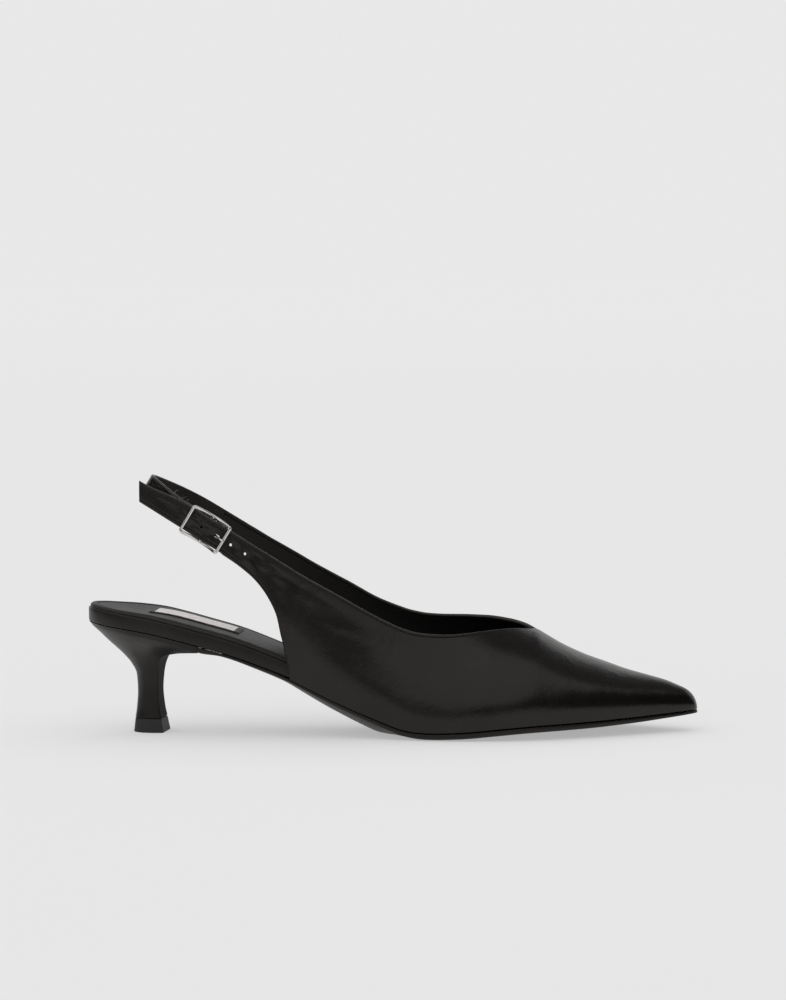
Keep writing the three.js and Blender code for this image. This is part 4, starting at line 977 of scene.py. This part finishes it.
# Painted shade: the lining is painted darker forward of about x = -40 mm than behind x = -70 mm,
# where it lies deep inside the shoe.
far_back = upper_finish.node("SeparateXYZ", {}, {"Vector": upper_finish.mm}).fade(-40, -70)
lining_painted_shade = upper_finish.mix(far_back, (0.0028, 0.0026, 0.0025), (0.0056, 0.005, 0.0047))
lined = upper_finish.mix(lining, upper_finish.hide, lining_painted_shade)
# The painted edge highlight is mixed into the hide here.
edge_highlighted = upper_finish.mix(painted_edge_highlight * 0.8, lined, (0.05, 0.045, 0.042))
# Near black along the sewn line: thread colour plus painted groove shade.
upper_finish.set("Base Color", upper_finish.mix(seam_groove_shade * 0.9, edge_highlighted, (0.001, 0.001, 0.001)))
worn = 0.27 + 0.1 * (upper_finish.noise(7, 3.0) - 0.5) + lining * 0.4
upper_finish.set("Roughness", worn + seam_groove_shade * 0.3)
belongs(upper, upper_finish, "upper", "upper")

# Sling strap
# One folded and cemented leather band round the heel. Its medial end butts against the tab, and
# its lateral end is folded round the buckle's centre bar and stuck down behind.
BAR_RADIUS = 0.7
BUCKLE_BAR = 1.3
BUCKLE_DEPTH = 1.3
PRONG_RADIUS = 0.45
EDGE_BULGE = 0.75
FOLD_THICKNESS = STRAP_THICKNESS * 0.61
BAR_DEPTH = WALL / 2 - BILLET_LIFT + 2 * GAP + FOLD_THICKNESS + BAR_RADIUS
SLING_LOOP = np.array([
    (-0.008, 1), (0.162, 0.985), (0.334, 0.935), (0.495, 0.815), (0.667, 0.61), (0.828, 0.34),
    (0.934, 0.13), (0.973, -0.01), (0.944, -0.14), (0.828, -0.34), (0.677, -0.555),
    (0.536, -0.715),
])
SLING_FOLD = np.array([(1.44, 1.35, 1), (0.93, 0.9, 1), (0.52, 0.71, 0.72)])
SLING_FLAP = np.array([(0.31, 1.67, 0.6), (0.93, 1.7, 0.6), (1.4, 2.06, 0.6)])


def curve_through(points, count):
    """A smooth line through points, its tangents weighted by the square roots of their
    distances, and its unit tangents."""
    padded = np.vstack([2 * points[0] - points[1], points, 2 * points[-1] - points[-2]])
    t = np.linspace(0, len(points) - 1, count)
    i = np.minimum(t.astype(int), len(points) - 2)
    w = (t - i)[:, None]
    p = [padded[i + k] for k in range(4)]
    d = [np.sqrt(np.linalg.norm(p[k + 1] - p[k], axis=1, keepdims=True)) for k in range(3)]
    leave = ((p[1] - p[0]) / d[0] - (p[2] - p[0]) / (d[0] + d[1]) + (p[2] - p[1]) / d[1]) * d[1]
    arrive = ((p[2] - p[1]) / d[1] - (p[3] - p[1]) / (d[1] + d[2]) + (p[3] - p[2]) / d[2]) * d[1]
    line = cubic(w, p[1], leave, p[2], arrive)
    return line, unit(np.gradient(line, axis=0))


def fold_points(along, depth, thickness):
    """Points of the sling's fold beside the buckle's middle, in the sling's own plane."""
    side = buckle_middle[1] + along * np.sin(BILLET_TAPER) + depth * np.cos(BILLET_TAPER)
    back = along * np.cos(BILLET_TAPER) - depth * np.sin(BILLET_TAPER) - BUCKLE_FORWARD
    return np.stack([side, back, thickness + 0 * along], -1)


loop_points = np.column_stack([
    SLING_LOOP[:, 1] * LOOP_SPREAD, LOOP_DEPTH * SLING_LOOP[:, 0],
    np.full(len(SLING_LOOP), STRAP_THICKNESS),
])
fold_bend = BAR_RADIUS + GAP + FOLD_THICKNESS / 2
fold_angle = np.radians([75, 110, 145, 180, 215, 250, 285])
sling_points = np.vstack([
    loop_points,
    fold_points(SLING_FOLD[:, 0] * BUCKLE_LENGTH / 2, SLING_FOLD[:, 1] * BAR_DEPTH,
                SLING_FOLD[:, 2] * STRAP_THICKNESS),
    fold_points(fold_bend * np.cos(fold_angle), BAR_DEPTH - fold_bend * np.sin(fold_angle),
                FOLD_THICKNESS),
    fold_points(SLING_FLAP[:, 0] * BUCKLE_LENGTH / 2, SLING_FLAP[:, 1] * BAR_DEPTH,
                SLING_FLAP[:, 2] * STRAP_THICKNESS),
])
sling_line, sling_ahead = curve_through(sling_points, 520)
sling_square = unit(np.column_stack([-sling_ahead[:, 1], sling_ahead[:, 0]]))
round_edge = np.linspace(-np.pi / 2, np.pi / 2, 9)
face_up = np.linspace(-1, 1, 15)[1:-1]
flat_half = STRAP_WIDTH / 2 - EDGE_BULGE
section_up = np.concatenate([
    flat_half + EDGE_BULGE * np.cos(round_edge), -face_up * flat_half,
    -flat_half - EDGE_BULGE * np.cos(round_edge), face_up * flat_half,
])
section_out = np.concatenate([
    np.sin(round_edge), np.ones(len(face_up)), -np.sin(round_edge), -np.ones(len(face_up)),
]) / 2
sewn_line = np.exp(-((STRAP_WIDTH / 2 - STITCH_IN - np.abs(section_up)) / 0.25) ** 2)
thick = sling_line[:, 2:3] - 0.12 * sewn_line[None, :] * smooth(sling_line[:, 2:3], 1.2, 1.7)
sling_side = sling_line[:, :1] + sling_square[:, :1] * section_out * thick
sling_back = sling_line[:, 1:2] + sling_square[:, 1:] * section_out * thick
sling_grid = (strap_origin + AXIS_Y * sling_side[..., None] + strap_back * sling_back[..., None]
              + strap_up * section_up[None, :, None])
lined_face = smooth(section_out, 0.2, 0.5)[None, :] * np.ones((len(sling_line), 1))
sling_sheets = [(sling_grid, True, {"lining": lined_face}), *ends(sling_grid, lining=0.0)]
sling = skin("sling_strap_leather", sling_sheets, 50)
slot_half = PRONG_RADIUS + GAP
slot_reach = 0.85 * (BAR_RADIUS + fold_bend)
slot_ring = np.array([(-1, -1), (1, -1), (1, 1), (-1, 1)])
slot_grid = np.stack([
    beside_buckle(slot_ring[:, 0] * slot_reach, slot_ring[:, 1] * slot_half, np.full(4, out))
    for out in (-BAR_DEPTH - BAR_RADIUS - GAP, FOLD_THICKNESS / 2 - 0.25)
])
punch(sling, [(slot_grid, True, {}), *ends(slot_grid)])
strap_dark, strap_light = (0.004, 0.0036, 0.0034), (0.0072, 0.0064, 0.006)
sling_finish = leather("strap_leather", strap_dark, strap_light, 0.26, 0.03, 0.5)
behind = sling_finish.kept("lining")
sling_finish.set("Roughness", 0.24 + behind * 0.45 + 0.06 * sling_finish.noise(4))
sling_finish.set("Coat Weight", 0.15 * (1 - behind))
strap_hide = sling_finish.clouds(12, strap_dark, strap_light, 3.0)
sling_finish.set("Base Color", sling_finish.mix(behind, strap_hide, (0.0028, 0.0026, 0.0025)))
stretched = sling_finish.node("Mapping", {"vector_type": "TEXTURE"}, {
    "Vector": sling_finish.mm, "Rotation": (0.0, STRAP_SLOPE, 0.0), "Scale": (4.5, 4.5, 1.0),
})
creases = sling_finish.noise(1.7, 1.5, 0.5, stretched)
sling_finish.bump(creases * 1.7 + sling_finish.noise(1.2, 3.0) * 0.2, 0.14)
belongs(sling, sling_finish, "sling_strap", "sling_strap")

# Buckle
# A small rectangular frame of polished wire with a centre bar below it, and a round wire prong
# wrapped round that bar. The billet passes under the frame's ends and over the bar.
BUCKLE_CORNER = 0.9
PRONG_PATH = np.array([
    (0.4, -0.025), (0.68, -0.012), (0.86, 0.075), (1, 0.3), (1.14, 0.525), (1.35, 0.78),
    (1.58, 1),
])
frame_out = WALL / 2 + GAP + BUCKLE_DEPTH / 2
half_length = (BUCKLE_LENGTH - BUCKLE_BAR) / 2
half_width = STRAP_WIDTH / 2 + GAP + BUCKLE_BAR / 2

straight_length, straight_width = half_length - BUCKLE_CORNER, half_width - BUCKLE_CORNER
path_along, path_up, path_facing = [], [], []
for k, (along_sign, up_sign) in enumerate([(1, 1), (-1, 1), (-1, -1), (1, -1)]):
    angle = k * np.pi / 2 + np.linspace(0, np.pi / 2, 12)
    path_along.append(along_sign * straight_length + BUCKLE_CORNER * np.cos(angle))
    path_up.append(up_sign * straight_width + BUCKLE_CORNER * np.sin(angle))
    path_facing.append(angle)
    if k % 2 == 0:
        share = np.linspace(0, 1, 50)[1:-1]
        path_along.append(along_sign * straight_length * (1 - 2 * share))
        path_up.append(up_sign * half_width + 0 * share)
        path_facing.append(0 * share + (k + 1) * np.pi / 2)
path_along, path_up, path_facing = [
    np.concatenate(parts)[:, None] for parts in (path_along, path_up, path_facing)
]
dip = 1 - np.minimum(np.abs(path_along) / straight_length, 1) ** 2.2
wire = np.linspace(0, 2 * np.pi, 20, endpoint=False)
wire_side = np.sign(np.cos(wire)) * np.abs(np.cos(wire)) ** 0.55 * BUCKLE_BAR / 2
wire_out = np.sign(np.sin(wire)) * np.abs(np.sin(wire)) ** 0.55 * BUCKLE_DEPTH / 2
frame_grid = beside_buckle(
    path_along + wire_side * np.cos(path_facing), path_up + wire_side * np.sin(path_facing),
    lerp(frame_out, -BAR_DEPTH, dip) + wire_out,
)
frame_grid = np.concatenate([frame_grid, frame_grid[:1]])
turn = np.linspace(0, 2 * np.pi, 24, endpoint=False)
bar_up = np.array([-half_width, half_width])[:, None]
bar_grid = beside_buckle(
    BAR_RADIUS * np.cos(turn) + 0 * bar_up, bar_up + 0 * turn,
    BAR_RADIUS * np.sin(turn) - BAR_DEPTH + 0 * bar_up,
)
buckle = skin("buckle_frame_wire", [
    (frame_grid, True, {}), (bar_grid, True, {}), *ends(bar_grid),
], 60)
metal = Finish("polished_metal", metallic=1.0)
metal.set("Base Color", metal.clouds(2, (0.62, 0.61, 0.6), (0.8, 0.79, 0.78), 3.0))
metal.set("Roughness", 0.16 + 0.06 * metal.noise(3))
metal.bump(metal.noise(2), 0.004)
belongs(buckle, metal, "buckle", "buckle_frame")

PRONG_STEPS = 160

wrap = BAR_RADIUS + GAP + PRONG_RADIUS
rest_out = frame_out + BUCKLE_DEPTH / 2 + GAP + PRONG_RADIUS
prong_hole = FIRST_HOLE - HOLE_SPACING
hook = np.radians(np.linspace(200, 450, 13))
prong_points = np.vstack([
    np.column_stack([wrap * np.cos(hook), wrap * np.sin(hook) - BAR_DEPTH]),
    np.column_stack([
        prong_hole * PRONG_PATH[:, 0], lerp(wrap - BAR_DEPTH, rest_out, PRONG_PATH[:, 1]),
    ]),
    [(-half_length - BUCKLE_BAR * 0.45, rest_out)],
])
prong_line, prong_ahead = curve_through(prong_points, PRONG_STEPS)
prong_round = 1 - np.abs(np.linspace(-1, 1, PRONG_STEPS)) ** 40
prong_taper = PRONG_RADIUS * np.sqrt(np.clip(prong_round, 0.02, 1))[:, None]
prong_grid = beside_buckle(
    prong_line[:, :1] - prong_ahead[:, 1:] * prong_taper * np.cos(turn),
    prong_taper * np.sin(turn),
    prong_line[:, 1:] + prong_ahead[:, :1] * prong_taper * np.cos(turn),
)
prong = skin("buckle_prong_wire", [(prong_grid, True, {}), *ends(prong_grid)], 60)
belongs(prong, metal, "buckle", "buckle_prong")

# Seams
# Fine black thread, lockstitched through the folded edges of the upper and round the sock, each
# stitch a short round pad pulled into its groove.
STITCH_PITCH = 2.3
THREAD = 0.34
THREAD_PROUD = 0.02


def stitches(lines):
    """Stitches at even steps along lines of points with normals. Each is an ellipsoid, longest
    along its line, as a grid of turns round it and steps from end to end."""
    sheets = []
    for points, normals in lines:
        steps = np.linalg.norm(np.diff(points, axis=0), axis=1)
        run = np.concatenate([[0], np.cumsum(steps)])
        places = np.arange(STITCH_PITCH, run[-1] - STITCH_PITCH, STITCH_PITCH)
        slopes = np.gradient(points, run, axis=0)
        middle, ahead, out = [
            np.column_stack([np.interp(places, run, values[:, k]) for k in range(3)])
            for values in (points, slopes, normals)
        ]
        ahead, out = unit(ahead), unit(out)
        aside = np.cross(ahead, out)
        around = np.linspace(0, 2 * np.pi, 8, endpoint=False)[None, :, None]
        for spot, a, o, w in zip(middle, ahead, out, aside):
            along = np.linspace(-np.pi / 2, np.pi / 2, 7)[:, None, None]
            pad = (a * np.sin(along) * STITCH_PITCH * 0.44
                   + np.cos(along) * THREAD / 2 * (o * np.cos(around) + w * np.sin(around)))
            sheets.append((spot + pad, True, {}))
    return sheets


sewn_column = int(np.argmin(np.abs(EDGE_STEPS - STITCH_IN)))
upper_seams = []
for wall in walls.values():
    for face, facing in (("outer", 1), ("inner", -1)):
        grid, normal = wall[face], wall["normal"] * facing
        top_line = np.s_[VAMP_ROWS + 8:, -1 - sewn_column]
        rear_line = np.s_[VAMP_ROWS + OPEN_ROWS + 2:, sewn_column]
        for line in (top_line, rear_line):
            upper_seams.append((grid[line] + normal[line] * THREAD_PROUD, normal[line]))
upper_thread = skin("upper_stitching", stitches(upper_seams), 180)
thread = Finish("black_thread", roughness=0.75, specular_ior_level=0.2)
thread.set("Base Color", thread.clouds(0.5, (0.002, 0.002, 0.002), (0.007, 0.0065, 0.006)))
thread.bump(thread.noise(0.12, 2.0), 0.02)
belongs(upper_thread, thread, "upper")

sock_seams = []
for side in (-1, 1):
    line_turns = np.linspace(0.02, 2.2, 500)
    spot = outline(side, line_turns, -SOCK_INSET - GROOVE_IN)
    height = sock_top(spot[:, 0], spot[:, 1]) + sock_rim(GROOVE_IN)
    up = np.broadcast_to([0.0, 0.0, 1.0], (len(spot), 3))
    sock_seams.append((np.column_stack([spot, height]), up))
sock_thread = skin("sock_stitching", stitches(sock_seams), 180)
belongs(sock_thread, thread, "sock")

# Loose ends and specks
# A few cut thread ends stand up from the sling's top edge behind the buckle, and dried specks
# of cement lie along the joint of insole and sole in front of the heel.
END_RADIUS = 0.07

thread_ends = []
lateral_rows = np.flatnonzero((sling_grid[:, 4, 1] < 0) & (np.arange(len(sling_grid)) < 400))
for x, lean, length in (
    (-90.6, 0.4, 2.0), (-89.9, -0.5, 2.4), (-87.9, 0.9, 1.9), (-87.3, -0.3, 1.3), (-85.3, 0.6, 1.5),
):
    root = sling_grid[lateral_rows[np.argmin(np.abs(sling_grid[lateral_rows, 4, 0] - x))], 4]
    climb = np.linspace(-0.25, 1, 9)[:, None, None]
    ring = np.linspace(0, 2 * np.pi, 6, endpoint=False)[None, :, None]
    bend = lean * climb + 0.25 * np.sin(3 * climb + x)
    path = root + length * (strap_up * climb - strap_back * bend) - AXIS_Y * (0.6 + 0.3 * climb)
    grid = path + END_RADIUS * (strap_back * np.cos(ring) + AXIS_Y * np.sin(ring))
    thread_ends += [(grid, True, {}), *ends(grid)]
loose_ends = skin("loose_thread_ends", thread_ends, 180)
frayed = Finish("frayed_thread", roughness=0.6)
frayed.set("Base Color", frayed.clouds(0.6, (0.1, 0.09, 0.08), (0.3, 0.27, 0.24)))
belongs(loose_ends, frayed, "upper")

chance = np.random.default_rng(4)
specks = []
for share in np.sort(chance.uniform(0, 1, 26)):
    spot = outline(-1, turn_at(np.array([lerp(-81.0, -70.5, share)])), 0.02)[0]
    low = seam_height(spot[0]) - GAP / 2 + chance.uniform(-0.12, 0.12)
    long, tall, proud = chance.uniform(0.2, 0.75), chance.uniform(0.07, 0.16), 0.12
    ring = np.linspace(0, 2 * np.pi, 8, endpoint=False)[None, :]
    rise = np.linspace(-np.pi / 2, np.pi / 2, 6)[:, None]
    fleck = np.stack([
        spot[0] + long / 2 * np.sin(rise) + 0 * ring,
        spot[1] + proud * np.cos(rise) * np.cos(ring),
        low + tall * np.cos(rise) * np.sin(ring) - 0.3 * long / 2 * np.sin(rise),
    ], -1)
    specks.append((fleck, True, {}))
cement = skin("cement_specks", specks, 180)
dried = Finish("dried_cement", roughness=0.4)
dried.set("Base Color", dried.clouds(1.0, (0.2, 0.19, 0.17), (0.5, 0.48, 0.45)))
belongs(cement, dried, "insole")

# Floor, light and camera
# A white floor, lit a little from below under an even white sky, dark flags round the camera's
# side and a grey cloth overhead that only show in the leather's gloss, and a long lens just above
# the floor.
floor_x, floor_y = np.meshgrid([-15000.0, 15000.0], [-15000.0, 15000.0], indexing="ij")
floor = skin("studio_floor", [(np.stack([floor_x, floor_y, 0 * floor_x], -1), False, {})])
paper = Finish(
    "white_paper", roughness=0.9, specular_ior_level=0.0, emission_color=(1, 1, 1, 1),
    emission_strength=0.39,
)
far_off = paper.node("VectorMath", {"operation": "LENGTH"}, {0: paper.mm}, 1)
near_white = paper.clouds(400, (0.5, 0.5, 0.5), (0.51, 0.51, 0.51))
paper.set("Base Color", paper.mix(far_off.fade(1500, 9000), near_white, (0.52, 0.52, 0.52)))
floor.data.materials.append(paper.material)
floor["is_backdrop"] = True

felt = Finish("black_felt", roughness=1.0, specular_ior_level=0.0)
felt.set("Base Color", felt.clouds(50, (0.01, 0.01, 0.01), (0.02, 0.02, 0.02)))
grey_cloth = Finish("grey_cloth", roughness=1.0, specular_ior_level=0.0)
grey_cloth.set("Base Color", grey_cloth.clouds(50, (0.17, 0.17, 0.17), (0.19, 0.19, 0.19)))


def flag(name, finish, azimuth, low, high):
    """A dark screen on a dome of 2.7 m round the shoe, between two heights in degrees that may
    change with the azimuth, which is 0 at the camera's side and grows towards the toe."""
    rise = np.radians(np.stack([low + 0 * azimuth, high + 0 * azimuth]))
    turn = np.radians(azimuth)
    grid = 2700 * np.stack([
        np.cos(rise) * np.sin(turn), -np.cos(rise) * np.cos(turn), np.sin(rise),
    ], -1)
    screen = skin(name, [(grid, False, {})])
    screen.visible_camera = screen.visible_diffuse = screen.visible_shadow = False
    screen.data.materials.append(finish.material)
    screen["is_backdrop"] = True


front = np.linspace(-75, 125, 80)
front_height = 14 - 5 * smooth(-front, 6, 24) + 17 * smooth(-front, 45, 65)
front_height = front_height + 36 * smooth(front, 0, 70)
flag("flag_front", felt, front, 0.05, front_height)
flag("flag_heel", felt, np.linspace(-135, -75, 40), 0.05, 33)
flag("flag_over", grey_cloth, np.linspace(100, 225, 60), 36, 84)
scene = bpy.context.scene
scene.view_settings.view_transform = "Standard"
world = bpy.data.worlds.new("studio")
world.use_nodes = True
world.node_tree.nodes["Background"].inputs["Color"].default_value = (1, 1, 1, 1)
world.node_tree.nodes["Background"].inputs["Strength"].default_value = 0.81
scene.world = world

AZIMUTH, ELEVATION, ROLL = np.radians([4.8, 3.67, 0.6])
DISTANCE = 1.8
SENSOR = 36
FOCAL_HEIGHTS = 4194 / 1000
target = np.array([0.0013, 0.001685, 0.0996])
backwards = np.array([
    np.sin(AZIMUTH) * np.cos(ELEVATION), -np.cos(AZIMUTH) * np.cos(ELEVATION), np.sin(ELEVATION),
])
right = unit(np.cross(-backwards, [0, 0, 1.0]))
upwards = np.cross(right, -backwards)
lens = bpy.data.cameras.new("camera")
lens.sensor_width = SENSOR
lens.lens = FOCAL_HEIGHTS * SENSOR
lens.clip_end = 60
camera = bpy.data.objects.new("camera", lens)
pose = np.eye(4)
pose[:3, 0] = right * np.cos(ROLL) - upwards * np.sin(ROLL)
pose[:3, 1] = right * np.sin(ROLL) + upwards * np.cos(ROLL)
pose[:3, 2], pose[:3, 3] = backwards, target + backwards * DISTANCE
camera.matrix_world = Matrix(pose.tolist())
scene.collection.objects.link(camera)
scene.camera = camera

shown_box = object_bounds()
[[list(corner) for corner in box] for box in (cad_box, shown_box)]
